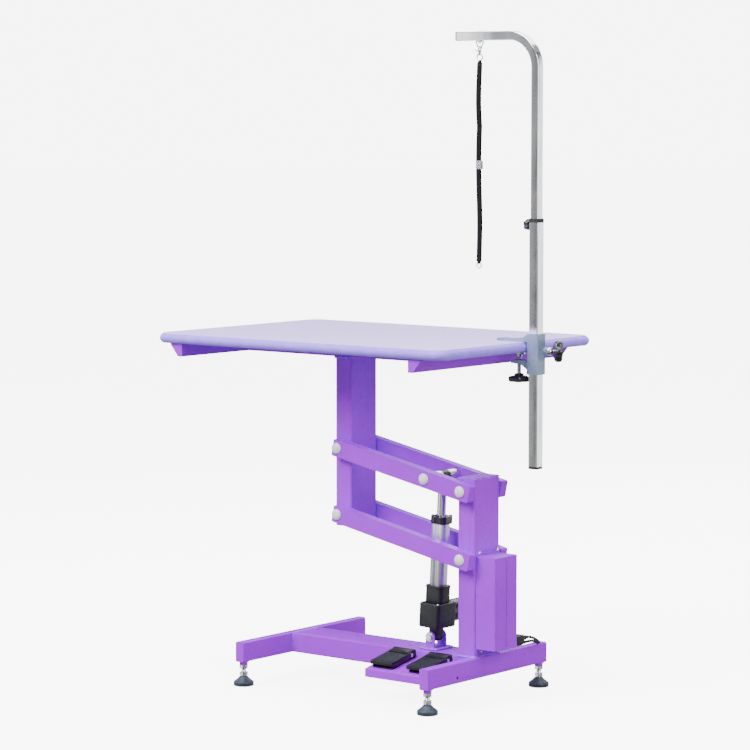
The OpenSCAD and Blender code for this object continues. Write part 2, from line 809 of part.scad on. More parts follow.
// Snap hook: closed eye round the wire loop, thumb lever, stem and headed swivel pin
module snap_hook() {
    color(chrome) at_ring() {
        translate([0, 0, hook_eye]) rotate([90, 0, 90]) torus(5, wire_r);
        translate([-11, 0, hook_eye - 5]) rotate([0, 90, 0]) cylinder(r = 1.2, h = 11);
        translate([0, 0, hook_eye - 9]) cylinder(r = 3.2, h = 4.4);
        translate([0, 0, stem_low]) cylinder(r = 2, h = 8);
        translate([0, 0, stem_low - 1.8]) cylinder(r = 3.2, h = 1.8);
    }
}

// Ring that turns on the swivel pin and carries the strap
module swivel_ring() {
    color(chrome) at_ring() difference() {
        union() {
            translate([0, 0, swivel_eye]) rotate([90, 0, 0]) torus(8, wire_r);
            translate([0, 0, stem_low + 0.3]) cylinder(r = 4, h = 4.7);
        }
        translate([0, 0, stem_low - 4]) cylinder(r = 2 + run_gap, h = 12);
        translate([0, 0, stem_low - 2.5]) cylinder(r = 3.6, h = 2.8);
    }
}

strap_w = 11;
ply = 1.8;
ply_y = 1.1;

// Sewn eye of the strap, round a ring
module strap_eye(z) {
    translate([-3.1, 0, z]) rotate([0, 90, 0]) difference() {
        cylinder(r = 3.9, h = 6.2);
        translate([0, 0, -1]) cylinder(r = 2.4, h = 9);
    }
}

// Doubled strap with an eye at each end, and the ring that hangs from the lower eye
module noose_strap() {
    low = strap_bottom - ring_z;
    top = swivel_eye - 10.1;
    color(black) at_ring() {
        for (y = [-ply_y - ply, ply_y]) translate([-strap_w / 2, y, low + 0.2]) cube([strap_w, ply, top - low - 0.2]);
        strap_eye(swivel_eye - 7.6);
        strap_eye(low - 2.3);
    }
    color(chrome) at_ring() translate([0, 0, low - 8.3]) rotate([90, 0, 0]) torus(6.4, 1.5);
}

module strap_slider() {
    clear = 0.3;
    color("dimgray") at_ring() translate([0, 0, slider_low]) difference() {
        translate([-strap_w / 2 - 2, -5.2, 0]) cube([strap_w + 4, 10.4, 20]);
        translate([-strap_w / 2 - clear, -ply_y - ply - clear, -1])
            cube([strap_w + 2 * clear, 2 * (ply_y + ply + clear), 22]);
    }
}

base_left_tube();
base_right_tube();
base_beam();
base_end_plates();
foot_bosses();
mast();
mast_shafts();
mast_pivot_caps();
actuator_bracket();
actuator_bolt();
pedal_tray();
pedal_bases();
pedal_pins();
control_box_cover();
control_box_screws();
control_board();
power_inlet();
power_connector();
power_cord();
cord_coil();
power_plug();
up_pedal();
down_pedal();
foot_front_left();
foot_front_right();
foot_back_left();
foot_back_right();
upper_link_front();
upper_link_rear();
upper_link_bushes();
actuator_pin();
actuator_pin_caps();
lower_link_front();
lower_link_rear();
lower_link_bushes();
column();
column_shafts();
column_pivot_caps();
top_beam();
crossbars();
table_board();
table_edge();
clamp_body();
actuator_housing();
actuator_motor();
actuator_tube();
actuator_gland();
lead_screw();
actuator_rod();
clamp_pad();
clamp_screw();
arm_post();
arm_tube();
arm_lock_knob();
post_lock_knob();
noose_ring();
snap_hook();
swivel_ring();
noose_strap();
strap_slider();
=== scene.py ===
# Looks of an electric pet grooming table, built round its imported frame. Meshes are drawn in millimetres,
# counted from the point on the floor below the mast's axis. The stage is drawn in metres, in the frame's axes.
import json
import math
from collections import namedtuple

import bpy
from mathutils import Matrix, Vector


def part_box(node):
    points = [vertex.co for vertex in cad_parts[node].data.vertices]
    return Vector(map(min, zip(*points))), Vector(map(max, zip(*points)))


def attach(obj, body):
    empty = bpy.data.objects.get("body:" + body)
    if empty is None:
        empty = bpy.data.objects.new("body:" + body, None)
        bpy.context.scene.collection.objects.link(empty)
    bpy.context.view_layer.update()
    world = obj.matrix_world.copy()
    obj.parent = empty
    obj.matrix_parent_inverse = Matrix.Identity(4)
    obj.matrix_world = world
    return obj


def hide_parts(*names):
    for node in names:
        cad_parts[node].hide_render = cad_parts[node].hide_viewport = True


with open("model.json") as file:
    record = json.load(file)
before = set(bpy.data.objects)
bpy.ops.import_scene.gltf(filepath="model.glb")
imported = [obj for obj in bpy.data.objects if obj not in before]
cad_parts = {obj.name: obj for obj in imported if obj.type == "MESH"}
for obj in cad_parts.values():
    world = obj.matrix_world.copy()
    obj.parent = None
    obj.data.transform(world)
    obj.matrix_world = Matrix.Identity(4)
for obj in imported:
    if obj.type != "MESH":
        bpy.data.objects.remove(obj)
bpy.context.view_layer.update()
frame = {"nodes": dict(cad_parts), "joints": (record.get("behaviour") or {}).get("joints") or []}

MM = 0.001
JOINTS = {j["name"]: j for j in frame["joints"]}
MAST_X = JOINTS["lift"]["pos_m"][0]
TO_FRAME = Matrix.Translation((MAST_X, 0, 0)) @ Matrix.Scale(MM, 4)
Span = namedtuple("Span", "low high mid size")


def span(node):
    """A CAD node's box in millimetres."""
    low, high = ((p - Vector((MAST_X, 0, 0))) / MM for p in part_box(node))
    return Span(low, high, (low + high) / 2, high - low)


def pivot(joint):
    """A joint's position in millimetres."""
    return (Vector(JOINTS[joint]["pos_m"]) - Vector((MAST_X, 0, 0))) / MM


# ---- Camera, floor and light ----

# Direction of the camera in degrees, and its place in metres, counted from the mast's axis
CAMERA_AZIMUTH, CAMERA_ELEVATION = 38.87, 5.16
CAMERA_PLACE = (4.2855, -5.7111, 1.4258)
FLOOR_HALF = 60
DOME_RADIUS = 55


def look_at(obj, target, distance, azimuth, elevation):
    """Puts obj at a distance from target; azimuth 0 looks along +Y."""
    a, e = math.radians(azimuth), math.radians(elevation)
    back = Vector((math.sin(a) * math.cos(e), -math.cos(a) * math.cos(e), math.sin(e)))
    obj.location = Vector(target) + back * distance
    obj.rotation_mode = "QUATERNION"
    obj.rotation_quaternion = (-back).to_track_quat("-Z", "Y")


def make_camera():
    data = bpy.data.cameras.new("camera")
    data.lens, data.sensor_width = 144.75, 36
    data.clip_end = 200
    camera = bpy.data.objects.new("camera", data)
    bpy.context.scene.collection.objects.link(camera)
    look_at(camera, (MAST_X, 0, 0), 0, CAMERA_AZIMUTH, CAMERA_ELEVATION)
    camera.location = Vector((MAST_X, 0, 0)) + Vector(CAMERA_PLACE)
    bpy.context.scene.camera = camera


def area_light(name, size, power, distance, azimuth, elevation):
    data = bpy.data.lights.new(name, "AREA")
    data.shape, data.size, data.size_y, data.energy = "RECTANGLE", size[0], size[1], power
    light = bpy.data.objects.new(name, data)
    bpy.context.scene.collection.objects.link(light)
    look_at(light, (0, 0, 0.8), distance, azimuth, elevation)


def reflection_card(name, size, distance, azimuth, elevation, shade):
    """A studio card that shows only in reflections."""
    w, h = size[0] / 2, size[1] / 2
    mesh = bpy.data.meshes.new(name)
    mesh.from_pydata([(-w, -h, 0), (w, -h, 0), (w, h, 0), (-w, h, 0)], [], [(0, 1, 2, 3)])
    card = bpy.data.objects.new(name, mesh)
    bpy.context.scene.collection.objects.link(card)
    look_at(card, (0, 0, 0.9), distance, azimuth, elevation)
    card.visible_camera = card.visible_diffuse = card.visible_shadow = False
    material = bpy.data.materials.new(name)
    material.use_nodes = True
    bsdf = material.node_tree.nodes["Principled BSDF"]
    bsdf.inputs["Base Color"].default_value = (0, 0, 0, 1)
    bsdf.inputs["Emission Color"].default_value = (shade, shade, shade, 1)
    bsdf.inputs["Emission Strength"].default_value = 1
    bsdf.inputs["Specular IOR Level"].default_value = 0
    mesh.materials.append(material)


def make_floor():
    mesh = bpy.data.meshes.new("floor")
    half, z = FLOOR_HALF, -0.0002
    corners = [(-half, -half, z), (half, -half, z), (half, half, z), (-half, half, z)]
    mesh.from_pydata(corners, [], [(0, 1, 2, 3)])
    floor = bpy.data.objects.new("floor", mesh)
    bpy.context.scene.collection.objects.link(floor)
    material = bpy.data.materials.new("floor")
    material.use_nodes = True
    bsdf = material.node_tree.nodes["Principled BSDF"]
    bsdf.inputs["Base Color"].default_value = (0.93, 0.93, 0.94, 1)
    bsdf.inputs["Roughness"].default_value = 0.9
    bsdf.inputs["Emission Color"].default_value = (1, 1, 1, 1)
    bsdf.inputs["Emission Strength"].default_value = 6.4
    mesh.materials.append(material)
    floor.visible_diffuse = floor.visible_glossy = False


def make_backdrop():
    """Bright dome behind everything, which only the camera sees."""
    points, faces, n = [], [], 48
    for k in range(13):
        e = math.pi / 2 * (k / 12) - 0.05
        for i in range(n):
            a = 2 * math.pi * i / n
            direction = (math.cos(a) * math.cos(e), math.sin(a) * math.cos(e), math.sin(e))
            points.append([DOME_RADIUS * c for c in direction])
    for k in range(12):
        for i in range(n):
            j = (i + 1) % n
            faces.append((k * n + i, k * n + j, (k + 1) * n + j, (k + 1) * n + i))
    mesh = bpy.data.meshes.new("backdrop")
    mesh.from_pydata(points, [], faces)
    dome = bpy.data.objects.new("backdrop", mesh)
    bpy.context.scene.collection.objects.link(dome)
    dome.visible_diffuse = dome.visible_glossy = dome.visible_shadow = False
    material = bpy.data.materials.new("backdrop")
    material.use_nodes = True
    bsdf = material.node_tree.nodes["Principled BSDF"]
    bsdf.inputs["Base Color"].default_value = (0, 0, 0, 1)
    bsdf.inputs["Specular IOR Level"].default_value = 0
    bsdf.inputs["Emission Color"].default_value = (1, 1, 1, 1)
    bsdf.inputs["Emission Strength"].default_value = 7.0
    mesh.materials.append(material)


# Azimuth in degrees and width in metres of the cards that the metal reflects
DARK_CARDS = ((-70, 0.7), (-49, 0.20), (-29, 0.26), (2, 0.6), (66, 0.9), (104, 0.6), (127, 0.36), (150, 0.40),
              (180, 0.9), (225, 1.0))
BRIGHT_CARDS = ((-39, 0.7), (-20, 0.6), (139, 0.5), (163, 0.6), (200, 0.8))


def light_studio():
    world = bpy.data.worlds.new("studio")
    bpy.context.scene.world = world
    world.use_nodes = True
    world.node_tree.nodes["Background"].inputs["Color"].default_value = (0.97, 0.98, 1, 1)
    world.node_tree.nodes["Background"].inputs["Strength"].default_value = 0.5
    area_light("key", (2.4, 2.4), 340, 4.5, -12, 38)
    area_light("overhead", (4, 4), 230, 4, 0, 88)
    area_light("right_fill", (2, 3), 130, 4.5, 84, 20)
    area_light("left_fill", (2, 3), 40, 4, -80, 15)
    area_light("back_fill", (3, 3), 120, 4.5, 190, 30)
    for k, (azimuth, width) in enumerate(DARK_CARDS):
        reflection_card(f"dark_{k}", (width, 5), 4, azimuth, 0, 0.03 + 0.03 * (k % 3))
    for k, (azimuth, width) in enumerate(BRIGHT_CARDS):
        reflection_card(f"bright_{k}", (width, 5), 4.2, azimuth, 0, 2.2)
    reflection_card("dark_low", (7, 7), 5, 40, -62, 0.10)


# ---- Materials ----

class Shader:
    """A material being made, with short ways to add and join its nodes."""

    def __init__(self, name):
        self.material = bpy.data.materials.new(name)
        self.material.use_nodes = True
        self.tree = self.material.node_tree
        self.bsdf = self.tree.nodes["Principled BSDF"]
        self.place = self.tree.nodes.new("ShaderNodeTexCoord").outputs["Object"]
        self.normal = None

    def set(self, **values):
        for key, value in values.items():
            self.bsdf.inputs[key.replace("_", " ")].default_value = value

    def join(self, source, target):
        self.tree.links.new(source, target)

    def stretched(self, scale):
        node = self.tree.nodes.new("ShaderNodeMapping")
        node.inputs["Scale"].default_value = scale
        self.join(self.place, node.inputs["Vector"])
        return node.outputs["Vector"]

    def noise(self, scale, detail=3, stretch=None):
        node = self.tree.nodes.new("ShaderNodeTexNoise")
        node.inputs["Scale"].default_value = scale
        node.inputs["Detail"].default_value = detail
        self.join(self.stretched(stretch) if stretch else self.place, node.inputs["Vector"])
        return node.outputs["Fac"]

    def cells(self, scale, kind="F1"):
        node = self.tree.nodes.new("ShaderNodeTexVoronoi")
        node.feature = kind
        node.inputs["Scale"].default_value = scale
        self.join(self.place, node.inputs["Vector"])
        return node.outputs["Distance"]

    def waves(self, scale, direction, distortion=0.0):
        node = self.tree.nodes.new("ShaderNodeTexWave")
        node.bands_direction = direction
        node.inputs["Scale"].default_value = scale
        node.inputs["Distortion"].default_value = distortion
        self.join(self.place, node.inputs["Vector"])
        return node.outputs["Fac"]

    def ranged(self, value, low, high, source=(0.3, 0.7)):
        node = self.tree.nodes.new("ShaderNodeMapRange")
        node.inputs["From Min"].default_value, node.inputs["From Max"].default_value = source
        node.inputs["To Min"].default_value, node.inputs["To Max"].default_value = low, high
        self.join(value, node.inputs["Value"])
        return node.outputs["Result"]

    def mixed(self, value, low, high, source=(0.35, 0.65)):
        node = self.tree.nodes.new("ShaderNodeMix")
        node.data_type = "RGBA"
        for socket, colour in (("A", low), ("B", high)):
            next(i for i in node.inputs if i.name == socket and i.type == "RGBA").default_value = (*colour, 1)
        self.join(self.ranged(value, 0, 1, source), node.inputs["Factor"])
        return next(o for o in node.outputs if o.type == "RGBA")

    def colour(self, output):
        self.join(output, self.bsdf.inputs["Base Color"])

    def rough(self, value, low, high):
        self.join(self.ranged(value, low, high), self.bsdf.inputs["Roughness"])

    def bump(self, height, depth_mm, strength=1.0):
        node = self.tree.nodes.new("ShaderNodeBump")
        node.inputs["Strength"].default_value = strength
        node.inputs["Distance"].default_value = depth_mm * MM
        self.join(height, node.inputs["Height"])
        if self.normal:
            self.join(self.normal, node.inputs["Normal"])
        self.normal = node.outputs["Normal"]
        self.join(self.normal, self.bsdf.inputs["Normal"])


def powder_coat():
    s = Shader("powder_coat")
    s.colour(s.mixed(s.noise(6, 4), (0.400, 0.0010, 0.880), (0.450, 0.0020, 0.960)))
    s.rough(s.noise(60), 0.26, 0.40)
    s.bump(s.noise(420, 2), 0.10, 0.35)
    s.bump(s.noise(30, 2), 0.25, 0.25)
    s.set(Specular_IOR_Level=0.16)
    return s.material


# Purple paint over the welds, but mixed paler and speckled brighter than the powder coat: a painted glint on the
# beads.
def weld_coat_glint():
    s = Shader("weld_coat_glint")
    s.colour(s.mixed(s.noise(120, 4), (0.38, 0.020, 0.90), (0.50, 0.08, 0.96)))
    s.rough(s.noise(200), 0.18, 0.34)
    s.bump(s.noise(500, 3), 0.2, 0.5)
    s.set(Coat_Weight=0.2)
    return s.material


def table_grain():
    s = Shader("table_grain")
    s.colour(s.mixed(s.noise(900, 3), (0.560, 0.420, 1.0), (0.690, 0.560, 1.0)))
    s.rough(s.noise(500), 0.42, 0.58)
    s.bump(s.cells(420), 0.12, 0.5)
    s.bump(s.noise(1400, 2), 0.05, 0.5)
    s.set(Specular_IOR_Level=0.16)
    return s.material


# The tabletop's lavender made darker for its rounded rim and underside: painted shade on what is one moulded slab.
def shaded_table_rim():
    s = Shader("shaded_table_rim")
    s.colour(s.mixed(s.noise(40, 4), (0.330, 0.200, 0.98), (0.380, 0.240, 1.0)))
    s.rough(s.noise(150), 0.30, 0.42)
    s.bump(s.noise(900, 2), 0.04, 0.4)
    s.set(Specular_IOR_Level=0.25)
    return s.material


def cast_paint():
    s = Shader("cast_paint")
    s.colour(s.mixed(s.noise(25, 5), (0.190, 0.250, 0.400), (0.250, 0.315, 0.470)))
    s.rough(s.noise(120), 0.24, 0.42)
    s.bump(s.noise(130, 4), 0.35, 0.45)
    s.bump(s.noise(30, 2), 0.6, 0.3)
    s.set(Metallic=0.25, Coat_Weight=0.3)
    return s.material


def metal(name, dark, light, rough, stretch=None, waviness=0.0):
    s = Shader(name)
    s.colour(s.mixed(s.noise(20, 5), dark, light))
    s.rough(s.noise(200, 4, stretch), *rough)
    if waviness:
        s.bump(s.noise(75, 2, (0.12, 1, 0.02)), 1.0, waviness)
    s.bump(s.noise(700, 3, stretch), 0.02, 0.35)
    s.set(Metallic=1.0)
    return s.material


def plastic(name, dark, light, rough=(0.3, 0.5), grain=500, depth=0.06, coat=0.0):
    s = Shader(name)
    s.colour(s.mixed(s.noise(35, 4), dark, light))
    s.rough(s.noise(160), *rough)
    s.bump(s.noise(grain, 3), depth, 0.5)
    s.set(Coat_Weight=coat)
    return s.material


def tread_rubber():
    s = Shader("tread_rubber")
    s.colour(s.mixed(s.cells(380), (0.030, 0.038, 0.050), (0.006, 0.009, 0.013), (0.1, 0.6)))
    s.rough(s.noise(300), 0.5, 0.7)
    s.bump(s.cells(380), 0.5, 0.8)
    return s.material


def woven_nylon():
    s = Shader("woven_nylon")
    weave = s.waves(260, "Z", 0.6)
    s.colour(s.mixed(weave, (0.0015, 0.0015, 0.002), (0.007, 0.007, 0.010), (0.2, 0.8)))
    s.rough(s.noise(300), 0.55, 0.75)
    s.bump(weave, 0.25, 0.8)
    s.bump(s.waves(420, "X", 0.4), 0.15, 0.6)
    s.set(Specular_IOR_Level=0.15, Sheen_Weight=0.03)
    return s.material


def slider_check():
    s = Shader("slider_check")
    s.colour(s.mixed(s.waves(95, "DIAGONAL"), (0.03, 0.03, 0.035), (0.62, 0.64, 0.66), (0.4, 0.6)))
    s.rough(s.noise(300), 0.35, 0.5)
    s.bump(s.waves(95, "DIAGONAL"), 0.2, 0.5)
    return s.material


PAINT = powder_coat()
WELD = weld_coat_glint()
GRAIN = table_grain()
SHADED_LAVENDER = shaded_table_rim()
CAST = cast_paint()
CHROME = metal("chrome", (0.84, 0.86, 0.89), (0.94, 0.95, 0.97), (0.04, 0.11), (0.1, 1, 0.05), 0.7)
BRIGHT = metal("bright_plate", (0.70, 0.71, 0.73), (0.88, 0.89, 0.90), (0.12, 0.26))
TURNED = metal("turned_steel", (0.58, 0.60, 0.63), (0.72, 0.73, 0.76), (0.22, 0.36), (1, 0.05, 1))
ANODISED = metal("anodised", (0.86, 0.88, 0.91), (0.95, 0.96, 0.98), (0.34, 0.46), (1, 1, 0.04))
WHITE = plastic("white_cap", (0.82, 0.82, 0.84), (0.92, 0.92, 0.94), (0.12, 0.22), 300, 0.03, 0.5)
IVORY = plastic("nylon_bush", (0.70, 0.66, 0.55), (0.80, 0.76, 0.66), (0.35, 0.5))
BLACK = plastic("black_plastic", (0.005, 0.006, 0.008), (0.012, 0.013, 0.017), (0.30, 0.48), 420, 0.12)
GLOSS_BLACK = plastic(
    "gloss_black", (0.008, 0.009, 0.011), (0.018, 0.019, 0.022), (0.16, 0.28), 300, 0.05, 0.3
)
FOOT = plastic("foot_rubber", (0.020, 0.030, 0.050), (0.040, 0.056, 0.086), (0.32, 0.50), 260, 0.15)
CORD = plastic("cord_sheath", (0.010, 0.010, 0.012), (0.022, 0.022, 0.026), (0.38, 0.52), 600, 0.05)
CIRCUIT = plastic("circuit_board", (0.02, 0.12, 0.05), (0.04, 0.20, 0.08), (0.3, 0.45))
TREAD = tread_rubber()
WEBBING = woven_nylon()
CHECK = slider_check()


# ---- Mesh tools ----

def piece(name, parts, material, body, matrix=None, replaces=(), sharp=38):
    """One object from (points, faces) parts in millimetres, riding on a body."""
    points, faces = [], []
    for part_points, part_faces in parts:
        base = len(points)
        points += [Vector(p) for p in part_points]
        faces += [[base + i for i in f] for f in part_faces]
    mesh = bpy.data.meshes.new(name)
    mesh.from_pydata(points, [], faces)
    mesh.transform(TO_FRAME @ (matrix or Matrix.Identity(4)))
    mesh.validate()
    mesh.polygons.foreach_set("use_smooth", [True] * len(mesh.polygons))
    mesh.set_sharp_from_angle(angle=math.radians(sharp))
    mesh.materials.append(material)
    obj = bpy.data.objects.new(name, mesh)
    bpy.context.scene.collection.objects.link(obj)
    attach(obj, body)
    if replaces:
        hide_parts(*replaces)
    return obj


def moved(part, matrix):
    return [matrix @ Vector(p) for p in part[0]], part[1]


def loft(rings, capped=True, closed=False):
    """Skin over rings that all have the same number of points."""
    n = len(rings[0])
    points = [p for ring in rings for p in ring]
    faces = []
    for k in range(len(rings) if closed else len(rings) - 1):
        a, b = k * n, (k + 1) % len(rings) * n
        faces += [[a + i, a + (i + 1) % n, b + (i + 1) % n, b + i] for i in range(n)]
    if capped and not closed:
        faces += [list(range(n))[::-1], [len(points) - n + i for i in range(n)]]
    return points, faces


def lathe(profile, sides=48):
    """Solid of revolution about Z from (radius, height) points."""
    rings = [
        [(max(r, 0.01) * math.cos(t), max(r, 0.01) * math.sin(t), z)
         for t in (2 * math.pi * i / sides for i in range(sides))]
        for r, z in profile
    ]
    return loft(rings)


def rounded_rect(w, h, r, steps=6):
    """Outline of a rectangle with arcs for corners, anticlockwise."""
    points = []
    for cx, cy, start in ((1, 1, 0), (-1, 1, 90), (-1, -1, 180), (1, -1, 270)):
        for k in range(steps + 1):
            t = math.radians(start + 90 * k / steps)
            points.append((cx * (w / 2 - r) + r * math.cos(t), cy * (h / 2 - r) + r * math.sin(t)))
    return points


def inset(outline, d):
    """The outline moved inwards by d along its own normals."""
    n, made = len(outline), []
    for i, (x, y) in enumerate(outline):
        (ax, ay), (bx, by) = outline[i - 1], outline[(i + 1) % n]
        tx, ty = bx - ax, by - ay
        size = math.hypot(tx, ty) or 1
        made.append((x - ty / size * d, y + tx / size * d))
    return made


def rounded_prism(outline, z0, z1, edge=1.0, steps=3):
    """Extruded outline with rounded top and bottom edges."""
    rings = []
    for base, sign in ((z0 + edge, -1), (z1 - edge, 1)):
        turns = range(steps + 1) if sign > 0 else range(steps, -1, -1)
        for k in turns:
            t = math.pi / 2 * k / steps
            ring = inset(outline, edge * (1 - math.cos(t)))
            rings.append([(x, y, base + sign * edge * math.sin(t)) for x, y in ring])
    return loft(rings)


def tidy_box(low, high, edge=0.8):
    """Box with rounded edges and corners between two points."""
    size = [b - a for a, b in zip(low, high)]
    outline = rounded_rect(size[0], size[1], max(edge, 0.3), 3)
    part = rounded_prism(outline, low[2], high[2], edge, 2)
    return moved(part, Matrix.Translation(((low[0] + high[0]) / 2, (low[1] + high[1]) / 2, 0)))


def sweep(path, section, closed=False, scale=None):
    """Section carried along a path of points without twist."""
    path = [Vector(p) for p in path]
    n = len(path)
    ways = []
    for i in range(n):
        a = path[i - 1] if closed or i else path[0]
        b = path[(i + 1) % n] if closed or i < n - 1 else path[-1]
        ways.append((b - a).normalized())
    up = Vector((0, 0, 1)) if abs(ways[0].z) < 0.9 else Vector((0, 1, 0))
    side = ways[0].cross(up).normalized()
    rings = []
    for i, way in enumerate(ways):
        side = (side - way * side.dot(way)).normalized()
        lift = side.cross(way).normalized()
        k = scale(i) if scale else 1
        rings.append([path[i] + side * x * k + lift * y * k for x, y in section])
    return loft(rings, capped=not closed, closed=closed)


def circle(r, n=12):
    return [(r * math.cos(2 * math.pi * i / n), r * math.sin(2 * math.pi * i / n)) for i in range(n)]


def arc(centre, radius, start, end, steps, axes="xz"):
    """Points on an arc, in degrees, in one of the frame's planes."""
    made = []
    for k in range(steps + 1):
        t = math.radians(start + (end - start) * k / steps)
        p = Vector(centre)
        for axis, value in zip(axes, (radius * math.cos(t), radius * math.sin(t))):
            setattr(p, axis, getattr(p, axis) + value)
        made.append(p)
    return made


def resampled(points, step):
    """The same line with points about step apart."""
    made = [Vector(points[0])]
    for a, b in zip(points, points[1:]):
        a, b = Vector(a), Vector(b)
        count = max(1, round((b - a).length / step))
        made += [a.lerp(b, k / count) for k in range(1, count + 1)]
    return made


def smooth_line(points, steps=6):
    """Catmull-Rom curve through the points."""
    pts = [Vector(p) for p in points]
    pts = [2 * pts[0] - pts[1], *pts, 2 * pts[-1] - pts[-2]]
    made = []
    for i in range(1, len(pts) - 2):
        p0, p1, p2, p3 = pts[i - 1:i + 3]
        for k in range(steps):
            t = k / steps
            made.append(0.5 * (2 * p1 + (p2 - p0) * t + (2 * p0 - 5 * p1 + 4 * p2 - p3) * t * t
                               + (3 * p1 - p0 - 3 * p2 + p3) * t ** 3))
    return made + [pts[-2]]


TO_X = Matrix.Rotation(math.pi / 2, 4, "Y")  # Z becomes +X


def at(x, y, z):
    return Matrix.Translation((x, y, z))


def hex_nut(across, z0, z1, chamfer=1.0):
    """Hexagon with chamfered corners, as rings of 48 points."""
    def ring(r, limit, z):
        points = []
        for i in range(48):
            t = 2 * math.pi * i / 48
            flat = r * math.cos(math.pi / 6) / math.cos((t % (math.pi / 3)) - math.pi / 6)
            d = min(flat, limit)
            points.append((d * math.cos(t), d * math.sin(t), z))
        return points
    low = across * 0.46
    return loft([ring(across / 2, low, z0), ring(across / 2, across, z0 + chamfer),
                 ring(across / 2, across, z1 - chamfer), ring(across / 2, low, z1)])


def thread(radius, pitch, z0, z1):
    """Threaded rod as a profile of crests and roots."""
    profile, z = [(radius - 0.6, z0)], z0
    while z + pitch <= z1:
        profile += [(radius - 0.6, z + pitch * 0.1), (radius, z + pitch * 0.45), (radius, z + pitch * 0.6)]
        z += pitch
    return lathe(profile + [(radius - 0.6, z1)], 32)


# ---- Frame, mast and column ----

def keep_cad(nodes, material, width):
    """CAD nodes that stay in sight get their finish and softened edges."""
    for name in nodes:
        obj = frame["nodes"][name]
        obj.data.materials.clear()
        obj.data.materials.append(material)
        weld = obj.modifiers.new("weld", "WELD")
        weld.merge_threshold = 1e-5
        bevel = obj.modifiers.new("bevel", "BEVEL")
        bevel.width, bevel.segments, bevel.limit_method = width * MM, 3, "ANGLE"
        bevel.angle_limit, bevel.harden_normals = math.radians(35), True
        obj.data.polygons.foreach_set("use_smooth", [True] * len(obj.data.polygons))
        even = obj.modifiers.new("even", "WEIGHTED_NORMAL")
        even.keep_sharp, even.weight = True, 100


def weld_bead(name, path, body, r=3.2, closed=False):
    """Bead of weld with a fish-scale ripple."""
    line = resampled(path, 1.2)
    if closed:
        line.pop()

    def ripple(i):
        return 0.86 + 0.16 * abs(math.sin(i * 0.75)) + 0.03 * math.sin(i * 2.3)

    bead = sweep(line, circle(r, 8), closed, ripple)
    return piece(name, [bead], WELD, body)


def outline_path(low, high, z):
    corners = ((low[0], low[1]), (high[0], low[1]), (high[0], high[1]), (low[0], high[1]), (low[0], low[1]))
    return [(x, y, z) for x, y in corners]


FOOT_Y = 222


def make_frame_finish():
    keep_cad(["base_left_tube", "base_right_tube", "base_beam", "base_end_plates", "foot_bosses", "mast",
              "actuator_bracket", "column", "top_beam", "crossbars"], PAINT, 0.7)
    keep_cad(["pedal_tray", "control_box_cover"], PAINT, 0.5)
    keep_cad([f"{side}_link_{end}" for side in ("upper", "lower") for end in ("front", "rear")], PAINT, 0.8)
    keep_cad(["upper_link_bushes", "lower_link_bushes"], IVORY, 0.4)
    keep_cad(["mast_shafts", "column_shafts", "actuator_pin", "lead_screw"], TURNED, 0.6)
    keep_cad(["control_board"], CIRCUIT, 0.3)
    keep_cad(["power_inlet"], GLOSS_BLACK, 0.6)
    mast, column, beam = span("mast"), span("column"), span("base_beam")
    weld_bead("mast_foot_weld", outline_path(mast.low, mast.high, mast.low.z + 1), "base", 3.4)
    weld_bead("mast_top_weld", outline_path(mast.low, mast.high, mast.high.z - 0.2), "base", 1.2)
    for side, x in (("left", beam.low.x), ("right", beam.high.x)):
        sign = 1 if side == "left" else -1
        for end in (-1, 1):
            y = end * beam.high.y
            weld_bead(f"beam_{side}_weld_{'front' if end < 0 else 'back'}",
                      [(x + sign * 1, y, beam.low.z + 4), (x + sign * 1, y, beam.high.z - 4)], "base")
        weld_bead(f"beam_{side}_top_weld", [(x + sign, beam.low.y + 2, beam.high.z - 1.2),
                                            (x + sign, beam.high.y - 2, beam.high.z - 1.2)], "base", 2.2)
    weld_bead("column_head_weld", outline_path(column.low, column.high, column.high.z - 1), "carriage", 3.4)
    top = span("top_beam")
    for side, x, sign in (("left", top.low.x, 1), ("right", top.high.x, -1)):
        for end in (-1, 1):
            y = end * top.high.y
            weld_bead(f"top_beam_{side}_weld_{'front' if end < 0 else 'back'}",
                      [(x + sign, y, top.low.z + 4), (x + sign, y, top.high.z - 3)], "carriage", 2.6)
    bracket = span("actuator_bracket")
    weld_bead("bracket_weld", outline_path(bracket.low, bracket.high, bracket.low.z + 3), "base", 2.6)
    for x in (span("base_left_tube").mid.x, span("base_right_tube").mid.x):
        for y in (-1, 1):
            ring = arc((x, y * FOOT_Y, span("foot_bosses").high.z), 11.5, 0, 360, 24, "xy")
            place = f"{'left' if x < -100 else 'right'}_{'front' if y < 0 else 'back'}"
            weld_bead(f"boss_weld_{place}", ring, "base", 1.4)


CAP_HEIGHT = 7.2
CAP_RADIUS = 14
CAP = [(0, CAP_HEIGHT), (2.5, 7.15), (5, 6.7), (7.8, 5.8), (10.3, 4.5), (12.2, 3.0), (13.4, 1.6), (13.9, 0.6),
       (13.9, 0.0), (13.2, -0.6), (8, -0.6), (0, -0.6)]


def make_caps():
    """White domed caps over the ends of the shafts."""
    for node, body in (("mast_pivot_caps", "base"), ("column_pivot_caps", "carriage"),
                       ("actuator_pin_caps", "upper_links")):
        box = span(node)
        heights = [box.low.z + CAP_RADIUS, box.high.z - CAP_RADIUS]
        if node == "actuator_pin_caps":
            heights = [box.mid.z]
        made = []
        for z in heights:
            for side in (-1, 1):
                turn = Matrix.Rotation(math.pi / 2 * -side, 4, "X")
                y = side * (box.high.y - CAP_HEIGHT)
                made.append(moved(lathe(CAP, 48), at(box.mid.x, y, z) @ turn))
        piece(node + "_domed", made, WHITE, body, replaces=[node])


FOOT_PAD = [(0, 0.4), (22.5, 0.4), (24.2, 1.0), (25, 2.4), (25, 9.2), (24.6, 10.8), (23.4, 12.0), (19.5, 14.8),
            (15.6, 17.8), (12.8, 20.6), (11.2, 22.6), (9.8, 23.6), (8.4, 24), (0, 24)]


